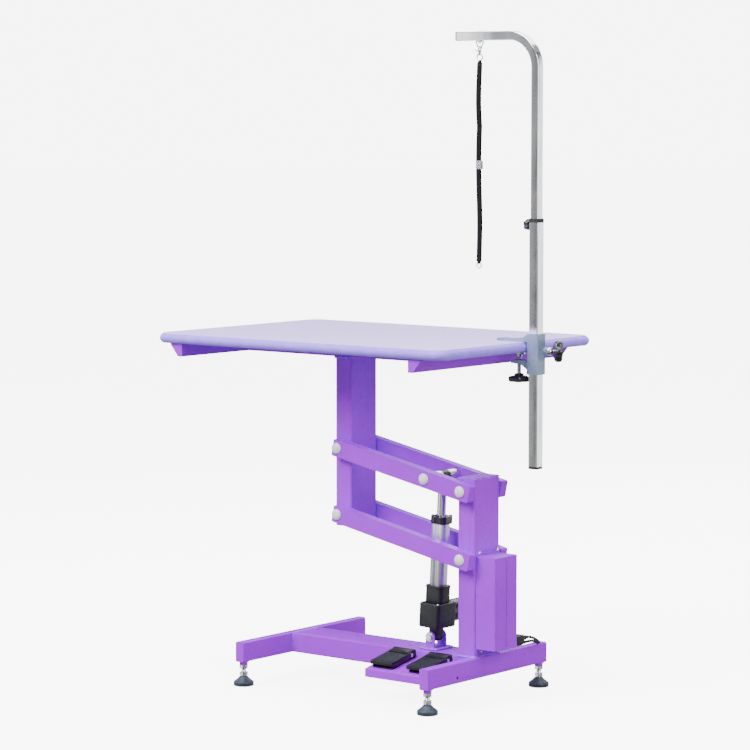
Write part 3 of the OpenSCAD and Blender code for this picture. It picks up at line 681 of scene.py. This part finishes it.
def make_feet():
    for end in ("front", "back"):
        for side in ("left", "right"):
            name = f"foot_{end}_{side}"
            box = span(name)
            centre = at(box.mid.x, box.mid.y, 0)
            pad = lathe(FOOT_PAD, 56)
            piece(name + "_pad", [pad], FOOT, name, centre, [name])
            stud = [thread(6, 1.75, 23.5, 72), *(hex_nut(21.8, z, z + 8, 1.1) for z in (26, 43.5))]
            piece(name + "_stud", stud, BRIGHT, name, centre)


# ---- Tabletop ----

def make_table():
    edge, board = span("table_edge"), span("table_board")
    w, l, t = edge.size.y, edge.size.x, edge.size.z
    outline = rounded_rect(l, w, 38, 10)
    trim_in = inset(outline, 7)
    top = [(x, y, t / 2) for x, y in trim_in]
    rings = [top]
    for k in range(11):
        angle = math.radians(62 - 124 * k / 10)
        push = 7 - 7 * (math.cos(angle) - math.cos(math.radians(62))) / (1 - math.cos(math.radians(62)))
        rings.append([(x, y, (t / 2 - 0.5) * math.sin(angle) / math.sin(math.radians(62)))
                      for x, y in inset(outline, push * 0.96)])
    rings.append([(x, y, -t / 2) for x, y in trim_in])
    centre = at(edge.mid.x, edge.mid.y, edge.mid.z)
    # The rounded rim and the underside take the darker lavender, which is painted shade.
    piece("shaded_table_rim", [loft(rings)], SHADED_LAVENDER, "carriage", centre, ["table_edge"], 50)
    board_top = board.high.z - edge.mid.z
    face = rounded_prism(inset(outline, 8.2), board_top - 6, board_top + 0.35, 0.8, 3)
    under = rounded_prism(inset(outline, 9), -t / 2 - 0.25, -t / 2 + 4, 0.8, 2)
    piece("table_surface", [face], GRAIN, "carriage", centre, ["table_board"])
    piece("table_underside", [under], SHADED_LAVENDER, "carriage", centre)
    screws = []
    for x in (span("crossbars").low.x + 12, span("crossbars").high.x - 12):
        for y in (-230, -80, 80, 230):
            screws.append(moved(lathe([(0, 2.6), (3, 2.4), (5, 1.4), (5.6, 0), (5.6, -0.4), (0, -0.4)], 24),
                                at(x, y, edge.low.z) @ Matrix.Rotation(math.pi, 4, "X")))
    piece("table_screws", screws, BRIGHT, "carriage")


# ---- Actuator ----

def make_actuator():
    lower = pivot("actuator_tilt")
    axis = Vector(JOINTS["rod_travel"]["axis"])
    if axis.z < 0:
        axis = -axis
    lean = math.atan2(axis.x, axis.z)
    base = Matrix.Translation(lower) @ Matrix.Rotation(lean, 4, "Y")
    eye = (Vector((span("actuator_pin").mid.x, 0, span("actuator_pin").mid.z)) - lower).length

    foot = [moved(rounded_prism(rounded_rect(23.6, 29.6, 2, 3), 1, 25, 1, 2), Matrix.Identity(4)),
            moved(lathe([(5.4, -15), (10.8, -15), (12, -14), (12, 14), (10.8, 15), (5.4, 15)], 40),
                  Matrix.Rotation(math.pi / 2, 4, "X"))]
    body = moved(rounded_prism(rounded_rect(60, 74, 7), 24, 84, 3, 4), at(0, 2, 0))
    rib = [moved(rounded_prism(rounded_rect(61, 75, 7.4), z, z + 2, 0.5, 2), at(0, 2, 0)) for z in (34, 70)]
    neck = rounded_prism(rounded_rect(50, 42, 9), 83, 126, 2.5, 3)
    collar = rounded_prism(rounded_rect(52, 44, 10), 119, 125.8, 1.2, 2)
    lid_screws = [moved(lathe([(0, 1.2), (3.2, 1), (3.8, 0), (0, -0.4)], 20), at(x, y + 2, 84))
                  for x in (-24, 24) for y in (-31, 31)]
    piece("actuator_gearbox", foot + [body, *rib, neck, collar], BLACK, "actuator", base,
          ["actuator_housing"])
    piece("actuator_lid_screws", lid_screws, BRIGHT, "actuator", base)

    profile = [(0.1, 39), (27, 39)]
    for k in range(7):
        y = 44 + k * 7.4
        profile += [(27, y), (25.8, y + 0.8), (25.8, y + 2.2), (27, y + 3)]
    profile += [(27, 100), (26, 102.6), (24, 104), (10.5, 104), (10.5, 105), (10, 108.6), (8.6, 110)]
    profile += [(0, 110)]
    motor = moved(lathe(profile, 56), at(0, 0, 56) @ Matrix.Rotation(-math.pi / 2, 4, "X"))
    piece("motor_can", [motor], GLOSS_BLACK, "actuator", base, ["actuator_motor"])

    def lobed(w, d, r, groove):
        outline = []
        for x, y in rounded_rect(w, d, r, 8):
            outline.append((x, y))
        dense = []
        for i, (x, y) in enumerate(outline):
            bx, by = outline[(i + 1) % len(outline)]
            steps = 8 if math.hypot(bx - x, by - y) > 6 else 1
            for k in range(steps):
                px, py = x + (bx - x) * k / steps, y + (by - y) * k / steps
                if abs(px) < 5 and abs(py) > d / 2 - 1:
                    py -= math.copysign(groove * (1 - (px / 5) ** 2), py)
                dense.append((px, py))
        return dense

    tube = rounded_prism(lobed(40, 34, 12, 3.2), 125.5, 276.2, 0.4, 2)
    piece("actuator_profile", [tube], ANODISED, "actuator", base, ["actuator_tube"])
    gland = moved(rounded_prism(lobed(44, 44, 12, 2.4), 276.4, 295.4, 2.2, 4), at(0, 2, 0))
    lip = lathe([(12.2, 295), (15.5, 295), (15.5, 296.4), (14.6, 297.4), (12.2, 297.4)], 40)
    piece("rod_gland", [gland, lip], GLOSS_BLACK, "actuator", base, ["actuator_gland"])
    gland_screws = [moved(lathe([(0, 2.2), (2.2, 2.2), (2.2, 3), (3.4, 3), (3.6, 2.4), (3.6, 0), (0, 0)], 20),
                          at(x, y + 2, 295)) for x in (-15.5, 15.5) for y in (-15.5, 15.5)]
    piece("gland_screws", gland_screws, BRIGHT, "actuator", base)

    chrome_rod = lathe([(0, 152), (10.8, 152), (11, 153), (11, eye - 25), (10, eye - 23), (0, eye - 23)], 48)
    piece("push_rod_bar", [chrome_rod], CHROME, "push_rod", base, ["actuator_rod"])
    knuckle = [moved(lathe([(8.6, -12), (13.6, -12), (15, -10.8), (15, 10.8), (13.6, 12), (8.6, 12)], 48),
                     at(0, 0, eye) @ Matrix.Rotation(math.pi / 2, 4, "X")),
               moved(rounded_prism(rounded_rect(22, 24, 3), eye - 25, eye - 5, 1.2, 3), Matrix.Identity(4))]
    piece("push_rod_knuckle", knuckle, BLACK, "push_rod", base)

    bolt = at(lower.x, 0, lower.z) @ Matrix.Rotation(math.pi / 2, 4, "X")
    parts = [lathe([(0, -31), (4.2, -31), (5, -30), (5, 25), (0, 25)], 32), hex_nut(17.6, 25, 31, 1),
             hex_nut(17.6, -31.5, -25.5, 1), lathe([(5.2, 24.2), (11, 24.2), (11, 25.4), (5.2, 25.4)], 32)]
    piece("actuator_bolt_head", parts, BRIGHT, "base", bolt, ["actuator_bolt"])


# ---- Pedals ----

def make_pedals():
    slope = math.radians(10.8)
    for name in ("up_pedal", "down_pedal"):
        hinge = pivot(name + "_press")
        centre_x = span(name).mid.x
        base = at(centre_x, hinge.y, hinge.z) @ Matrix.Rotation(slope, 4, "X") @ at(0, -78, -12)
        w = span(name).size.x
        deck = moved(rounded_prism(rounded_rect(w, 66, 3), 14, 18, 1.2, 3), at(0, 33, 0))
        skirt = tidy_box((-w / 2, 0, 9), (w / 2, 2.6, 15.5), 0.8)
        cheek = [(0.6, 9), (60, 4), (72, 4), (84, 6), (86, 14), (80, 18.2), (66, 18.2), (0.6, 17.6)]
        cheeks = []
        for x in (-w / 2, w / 2 - 3):
            upright = Matrix(((0, 0, 1, x), (1, 0, 0, 0), (0, 1, 0, 0), (0, 0, 0, 1)))
            cheeks.append(moved(rounded_prism(cheek, 0, 3, 0.5, 2), upright))
        piece(name + "_lever", [deck, skirt, *cheeks], BLACK, name, base, [name])
        tread = moved(rounded_prism(rounded_rect(w - 9, 57, 2), 17.6, 18.6, 0.4, 2), at(0, 33, 0))
        rib = rounded_prism(rounded_rect(w - 14, 2.4, 1.1, 4), 18.3, 19.4, 0.5, 2)
        ribs = [moved(rib, at(0, 9 + k * 6.9, 0)) for k in range(8)]
        piece(name + "_tread", [tread, *ribs], TREAD, name, base)
    for name in ("up_pedal", "down_pedal"):
        hinge = pivot(name + "_press")
        centre_x = span(name).mid.x
        w = span(name).size.x
        inner = w - 6.8
        base = at(centre_x, hinge.y, hinge.z) @ Matrix.Rotation(slope, 4, "X") @ at(0, -78, -12)
        parts = [tidy_box((-inner / 2, 3.5, 0.2), (inner / 2, 97, 2.7), 0.5),
                 tidy_box((-inner / 2, 69, 0.4), (inner / 2, 96.8, 20.8), 1.4),
                 tidy_box((-w / 2, 88.5, 0.3), (w / 2, 97, 21), 1.8),
                 tidy_box((-inner / 2, 3.5, 0.2), (-inner / 2 + 2, 69.5, 5.7), 0.4),
                 tidy_box((inner / 2 - 2, 3.5, 0.2), (inner / 2, 69.5, 5.7), 0.4),
                 tidy_box((-9, 44, 2.4), (9, 64, 7.7), 0.8)]
        replaced = ["pedal_bases"] if name == "up_pedal" else []
        piece(name + "_base", parts, BLACK, "base", base, replaced)
        half = w / 2
        profile = [(0, -half - 2.5), (3.2, -half - 2.5), (4.5, -half - 1.8), (4.5, -half - 0.5),
                   (2.5, -half - 0.5), (2.5, half + 0.5), (4.5, half + 0.5), (4.5, half + 1.8),
                   (3.2, half + 2.5), (0, half + 2.5)]
        pin = [moved(lathe(profile, 32), at(0, 78, 12) @ TO_X)]
        piece(name + "_pin", pin, BRIGHT, "base", base, ["pedal_pins"] if name == "up_pedal" else [])


# ---- Control box trim ----

def make_box_trim():
    box = span("control_box_screws")
    x = box.low.x + 2.3
    cover = span("control_box_cover")
    parts, recess_shades = [], []
    for y, z in ((box.low.y + 5, box.high.z - 5), (box.high.y - 5, box.high.z - 5),
                 (box.low.y + 11, box.low.z + 5), (box.high.y - 11, box.low.z + 5)):
        head = lathe([(0, 3.1), (2.0, 2.9), (3.6, 2.2), (4.7, 1.1), (5.2, 0), (5.2, -0.3), (0, -0.3)], 32)
        place = at(x, y, z) @ TO_X
        parts.append(moved(head, place))
        # A gloss black cross laid on each head is painted shade standing in for its recess.
        for turn in (0, math.pi / 2):
            recess_shade = tidy_box((-2.8, -0.5, 2.2), (2.8, 0.5, 3.15), 0.3)
            recess_shades.append(moved(recess_shade, place @ Matrix.Rotation(turn + 0.4, 4, "Z")))
    piece("box_screw_heads", parts, BRIGHT, "base", replaces=["control_box_screws"])
    piece("box_screw_recess_shade", recess_shades, GLOSS_BLACK, "base")
    ridge = [(cover.high.x - 0.25, cover.mid.y, z) for z in (cover.low.z + 20, cover.high.z - 20)]
    bead = sweep(resampled(ridge, 8), [(2.2 * math.cos(t), 0.9 * math.sin(t))
                                       for t in (2 * math.pi * k / 16 for k in range(16))])
    piece("box_fold", [bead], PAINT, "base")


# ---- Clamp, post and arm ----

def star_part(r, t, steps=14):
    """Five soft lobes with rounded faces."""
    outline = []
    for i in range(5 * steps):
        a = 2 * math.pi * i / (5 * steps)
        wave = (0.5 + 0.5 * math.cos(5 * a)) ** 0.72
        d = r * (0.775 + 0.225 * wave)
        outline.append((d * math.cos(a), d * math.sin(a)))
    def ring(scale, z):
        return [(x * scale, y * scale, z) for x, y in outline]

    shape = [(0.62, 0), (0.86, 0.2), (0.95, t * 0.12), (0.995, t * 0.28), (1, t * 0.5), (0.995, t * 0.72),
             (0.95, t * 0.88), (0.84, t * 0.985), (0.5, t), (0.42, t * 0.93), (0.1, t * 0.93)]
    return loft([ring(scale, z) for scale, z in shape])


def make_knobs():
    screw = span("clamp_screw")
    centre = at(screw.mid.x, screw.mid.y, 0)
    knob = moved(star_part(26, 14), at(0, 0, screw.low.z) @ Matrix.Rotation(math.radians(11), 4, "Z"))
    low = screw.low.z
    hub = lathe([(0, low + 13), (11.6, low + 13), (11.2, low + 18), (10, low + 20), (0, low + 20)], 40)
    piece("screw_knob", [knob, hub], GLOSS_BLACK, "clamp_screw", centre, ["clamp_screw"])
    stud = thread(5, 1.5, low + 17, screw.high.z)
    piece("screw_thread", [stud], BRIGHT, "clamp_screw", centre)
    pad = span("clamp_pad")
    low, high = pad.low.z, pad.high.z
    discs = lathe([(5.2, low), (8.2, low), (9, low + 0.8), (9, low + 5.6), (10.4, low + 6), (15, low + 6),
                   (16, low + 6.9), (16, high - 0.8), (15.2, high), (0, high)], 56)
    piece("clamp_pad_disc", [discs], BRIGHT, "clamp_pad", at(pad.mid.x, pad.mid.y, 0), ["clamp_pad"])

    lock = pivot("arm_lock_turn")
    turn = at(span("arm_post").mid.x, span("arm_post").mid.y, lock.z) @ Matrix.Rotation(-math.pi / 2, 4, "Y")
    parts = [moved(star_part(14, 14), at(0, 0, 16.5) @ Matrix.Rotation(math.radians(11), 4, "Z"))]
    piece("arm_lock_star", parts, GLOSS_BLACK, "arm_lock", turn, ["arm_lock_knob"])
    stud = lathe([(0, 10.8), (3, 10.8), (3, 17), (0, 17)], 24)
    piece("arm_lock_stud", [stud], BRIGHT, "arm_lock", turn)

    pz = pivot("post_lock_turn").z
    post = span("arm_post").mid
    turn = at(post.x, post.y, pz) @ Matrix.Rotation(math.pi / 4, 4, "Z") @ TO_X
    star = moved(star_part(26, 18), at(0, 0, 44) @ Matrix.Rotation(math.radians(-90), 4, "Z"))
    piece("post_lock_star", [star], GLOSS_BLACK, "post_lock", turn, ["post_lock_knob"])
    ball = lathe([(4.2, 22)] + [(9.8 * math.sin(t), 31.5 - 9.8 * math.cos(t)) for t in
                                  (0.3 + (math.pi - 0.6) * k / 14 for k in range(15))] + [(4.2, 41)], 40)
    stud = lathe([(0, 18), (4, 18), (4, 45), (0, 45)], 24)
    piece("post_lock_ball", [ball, stud], CHROME, "post_lock", turn)


def make_arm_parts():
    keep_cad(["arm_post", "arm_tube"], CHROME, 0.5)
    keep_cad(["clamp_body"], CAST, 1.3)
    post, arm = span("arm_post"), span("arm_tube")
    centre = at(post.mid.x, post.mid.y, 0)
    cap = rounded_prism(rounded_rect(25.4, 25.4, 2.4), post.low.z - 0.2, post.low.z + 5.9, 1, 3)
    foot = moved(cap, centre)
    piece("post_foot_cap", [foot], BLACK, "post")
    ring_outer, ring_inner = rounded_rect(26.4, 26.4, 2.6), rounded_rect(21.5, 21.5, 1.8)
    rings = [[(x, y, z) for x, y in source] for source, z in (
        (ring_inner, post.high.z - 8), (ring_outer, post.high.z - 8), (ring_outer, post.high.z + 0.4),
        (inset(ring_outer, 0.9), post.high.z + 1.3), (ring_inner, post.high.z + 1.3))]
    collar = loft(rings, capped=False, closed=True)
    piece("post_collar", [collar], BLACK, "post", centre)
    cap = rounded_prism(rounded_rect(21.6, 21.6, 2.4), 0, 4, 1.1, 3)
    end = moved(cap, at(arm.low.x - 0.2, post.mid.y, arm.high.z - 10.5) @ TO_X)
    piece("arm_end_cap", [end], BLACK, "arm")
    rivet = lathe([(0, 1.6), (1.8, 1.4), (2.8, 0.2), (2.8, -0.3), (0, -0.3)], 20)
    top = at(span("noose_strap").mid.x, post.mid.y, arm.high.z)
    piece("tab_rivet", [rivet], BRIGHT, "arm", top)


# ---- Noose ----

def make_noose():
    strap = span("noose_strap")
    x, y = strap.mid.x, span("arm_post").mid.y
    ring = span("noose_ring")
    top = ring.high.z - 1.6
    at_top = at(x, y, top)

    loop = ([Vector((-9, 0, 0.2)), Vector((9, 0, 0.2))] + arc((9.2, 0, -1.4), 1.6, 90, -20, 5)
            + [Vector((4.6, 0, -14.0))] + arc((3.4, 0, -14.2), 1.4, 0, -90, 4)
            + arc((-3.4, 0, -14.2), 1.4, -90, -180, 4) + [Vector((-4.6, 0, -14.0))]
            + arc((-9.2, 0, -1.4), 1.6, 200, 90, 5))
    wire = [p for i, p in enumerate(loop) if i == 0 or (p - loop[i - 1]).length > 0.3]
    bent = sweep(resampled(wire + wire[:1], 1.2)[:-1], circle(1.6, 12), True)
    piece("ring_wire", [bent], CHROME, "noose_ring", at_top, ["noose_ring"])

    hook = span("snap_hook")
    at_hook = at(x, y, hook.high.z - 6.6)
    eye = sweep(arc((0, 0, 0), 5, 0, 360, 40, "yz")[:-1], circle(1.6, 12), True)
    stem = lathe([(0, -16.3), (3.2, -16.3), (3.2, -14.7), (2, -14.5), (2, -9.4), (3.2, -9), (3.9, -8), (3.9, -5.6),
                  (3, -4.6), (0, -4.6)], 32)
    lever_line = smooth_line([(-1, 0, -5.6), (-5, 0, -5.0), (-9.5, 0, -5.4), (-11, 0, -5.2)], 5)
    lever = sweep(lever_line, circle(1.2, 10))
    thumb = moved(lathe([(0, -1.9), (1.5, -1.4), (1.9, 0), (1.5, 1.4), (0, 1.9)], 20), at(-11, 0, -5.1))
    piece("snap_hook_body", [eye, stem, lever, thumb], CHROME, "snap_hook", at_hook, ["snap_hook"])

    swivel = span("swivel_ring")
    at_swivel = at(x, y, swivel.low.z + 9.6)
    band = sweep(arc((0, 0, 0), 8, 0, 360, 48, "xz")[:-1], circle(1.6, 12), True)
    barrel = lathe([(2.2, 6.4), (3.6, 6.4), (4, 7), (4, 10.4), (3.4, 11.1), (2.2, 11.1)], 32)
    piece("swivel_band", [band, barrel], CHROME, "noose", at_swivel, ["swivel_ring"])

    low, high = strap.low.z + 17.6, strap.high.z - 9.5
    width = 11

    def ply(sign):
        """One ply of the strap, bowing out a little between its sewn ends."""
        line = []
        steps = 160
        bulge_from = 0.68
        for k in range(steps + 1):
            t = k / steps
            bow = math.sin(math.pi * t) ** 2 * (0.5 + 0.5 * math.sin(9 * t + sign))
            if t > bulge_from:
                sway = -4.5 * math.sin(math.pi * min(1, (1 - t) / 0.32))
            else:
                sway = 2.2 * math.sin(2 * math.pi * t / bulge_from)
            x = sway * math.sin(math.pi * t) ** 0.5
            line.append(Vector((x, sign * (2.1 + bow * 0.9), low + (high - low) * t)))
        section = []
        for k in range(40):
            u = -width / 2 + width * k / 39
            section.append((u, 1.15 - 0.12 * (k % 2)))
        section += [(a, -b) for a, b in reversed(section)]
        rings = []
        for k, p in enumerate(line):
            lean = 0.35 * math.sin(k * 0.11)
            rings.append([(p.x + a + lean * 0.3, p.y + b * sign, p.z) for a, b in section])
        return loft(rings)

    def fold(z, sign):
        """Sewn eye where the strap turns round a ring."""
        section = [(a, b) for a, b in rounded_rect(6.4, 1.6, 0.5, 2)]
        path = arc((0, 0, z), 3.1, -90 * sign + 14, -90 * sign + 346, 30, "yz")
        return loft([[(a, p.y + p.y / 3.1 * b, p.z + (p.z - z) / 3.1 * b) for a, b in section] for p in path])

    strap_at = at(x, y, 0)
    lower_ring_z = strap.low.z + 7.9
    plies = [ply(1), ply(-1)]
    folds = [fold(high + 2.0, 1), fold(low - 2.4, -1)]
    piece("strap_webbing", plies + folds, WEBBING, "noose", strap_at, ["noose_strap"], 60)
    stitches = []
    for z0 in (high - 4, low + 4):
        for row in range(4):
            for col in range(3):
                for sign in (-1, 1):
                    stitches.append(moved(tidy_box((-1.4, -0.25, -0.3), (1.4, 0.25, 0.3), 0.2),
                                          at(-3.4 + col * 3.4, sign * 3.0, z0 + (row - 1.5) * 2.2)))
    piece("strap_stitches", stitches, BLACK, "noose", strap_at)
    end_ring = sweep(arc((0, 0, lower_ring_z), 6.4, 0, 360, 44, "xz")[:-1], circle(1.5, 12), True)
    piece("strap_end_ring", [end_ring], CHROME, "noose", strap_at)

    slider = span("strap_slider")
    body = rounded_prism(rounded_rect(slider.size.x, slider.size.y, 1.6), slider.low.z, slider.high.z, 1.2, 3)
    groove = rounded_rect(slider.size.x + 0.5, slider.size.y + 0.5, 1.7)
    grooves = []
    for k in range(4):
        z = slider.low.z + 3 + k * 4.2
        grooves.append(rounded_prism(groove, z, z + 1.4, 0.4, 2))
    piece("slider_body", [body, *grooves], CHECK, "slider", at(x, y, 0), ["strap_slider"])


# ---- Mains lead ----

def cord_line():
    """The lead's centre line, from its relief over the cross tube to the coil and the plug."""
    out = [(58, 116, 142), (58, 126, 141), (58, 138, 138), (57, 152, 133), (53, 168, 126), (46, 184, 119),
           (36, 199, 114.5), (23, 210, 113.3), (9, 214, 113.3), (-6, 213, 111), (-21, 210, 105), (-37, 206, 96),
           (-55, 202, 83), (-73, 199, 68), (-90, 196, 53), (-105, 194, 41), (-119, 192.5, 32), (-134, 191, 25),
           (-149, 190, 20), (-164, 189.6, 17), (-184, 189.3, 15.2)]
    line = smooth_line(out, 5)
    cx, cy = -205, 150
    layers = [(39.25, 14.56), (36, 8.93), (32.75, 14.56), (29.4, 8.93), (32.75, 3.4), (39.25, 3.4),
              (42.6, 8.93)]
    for turn, (r, z) in enumerate(layers):
        nr, nz = layers[turn + 1] if turn + 1 < len(layers) else (r, z)
        for k in range(72):
            a = math.radians(90 + 5 * k)
            move = min(1, max(0, (k - 60) / 12))
            move = move * move * (3 - 2 * move)
            rr, zz = r + (nr - r) * move, z + (nz - z) * move
            line.append(Vector((cx + rr * math.cos(a), cy + rr * math.sin(a), zz)))
    return line + [Vector((cx, cy + 42.6, 8.93)), Vector((-214, 192.6, 8.4)), Vector((-224, 192.6, 7.4)),
                   Vector((-234, 192.6, 7.0)), Vector((-242, 192.6, 7.0))]


def make_cord():
    line = cord_line()
    points = [TO_FRAME @ p for p in line]
    data = bpy.data.curves.new("mains_lead", "CURVE")
    data.dimensions, data.bevel_depth, data.bevel_resolution = "3D", 3.25 * MM, 6
    spline = data.splines.new("POLY")
    spline.points.add(len(points) - 1)
    for target, p in zip(spline.points, points):
        target.co = (*p, 1)
    data.materials.append(CORD)
    lead = bpy.data.objects.new("mains_lead", data)
    bpy.context.scene.collection.objects.link(lead)
    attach(lead, "base")
    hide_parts("power_cord", "cord_coil")
    length = sum((a - b).length for a, b in zip(points, points[1:]))

    start = at(58, 0, 142) @ Matrix.Rotation(-math.pi / 2, 4, "X")
    shell = rounded_prism(rounded_rect(26, 20, 4, 5), 50.6, 92, 1.5, 3)
    grip = [rounded_prism(rounded_rect(26.8, 20.8, 4.3, 5), 64 + k * 5, 66 + k * 5, 0.5, 2) for k in range(5)]
    profile = [(0, 90), (8.4, 90)]
    for k in range(5):
        z, r = 92 + k * 4.8, 8.2 - k * 0.85
        profile += [(r, z), (r, z + 2.9), (r - 1.7, z + 3.2), (r - 1.7, z + 4.5)]
    profile += [(4.4, 116), (0, 116)]
    connector = piece("inlet_connector", [shell, *grip, lathe(profile, 36)], BLACK, "base", start,
                      ["power_connector"])
    plug = span("power_plug")
    px, py = plug.high.x, plug.mid.y
    flat = at(px, py, 7) @ Matrix.Rotation(-math.pi / 2, 4, "Y")
    block = rounded_prism(rounded_rect(14, 24, 4, 5), 15, 45, 2, 3)
    relief = [(0, -0.5), (4.3, -0.5)]
    for k in range(4):
        z, r = 0.4 + k * 3.7, 4.6 + k * 0.75
        relief += [(r, z), (r, z + 2.2), (r - 1.0, z + 2.5), (r - 1.0, z + 3.4)]
    relief += [(7.2, 15.5), (0, 15.5)]
    plug_body = piece("mains_plug", [block, lathe(relief, 32)], BLACK, "base", flat, ["power_plug"])
    prongs = [moved(tidy_box((-0.8, -3, 44), (0.8, 3, 62), 0.35), at(0, y, 0)) for y in (-6.35, 6.35)]
    pins = piece("plug_prongs", prongs, BRIGHT, "base", flat)
    loop = [Vector((-241 + 11.4 * math.cos(t), 150, max(9.2 + 9.6 * math.sin(t), 0.9)))
            for t in (2 * math.pi * k / 28 for k in range(28))]
    band = sweep(loop, rounded_rect(5.5, 1.2, 0.4, 2), True)
    tie = piece("coil_tie", [band], GLOSS_BLACK, "base")
    return length


make_camera()
make_floor()
make_backdrop()
light_studio()
make_frame_finish()
make_caps()
make_feet()
make_table()
make_actuator()
make_pedals()
make_box_trim()
make_knobs()
make_arm_parts()
make_noose()
make_cord()
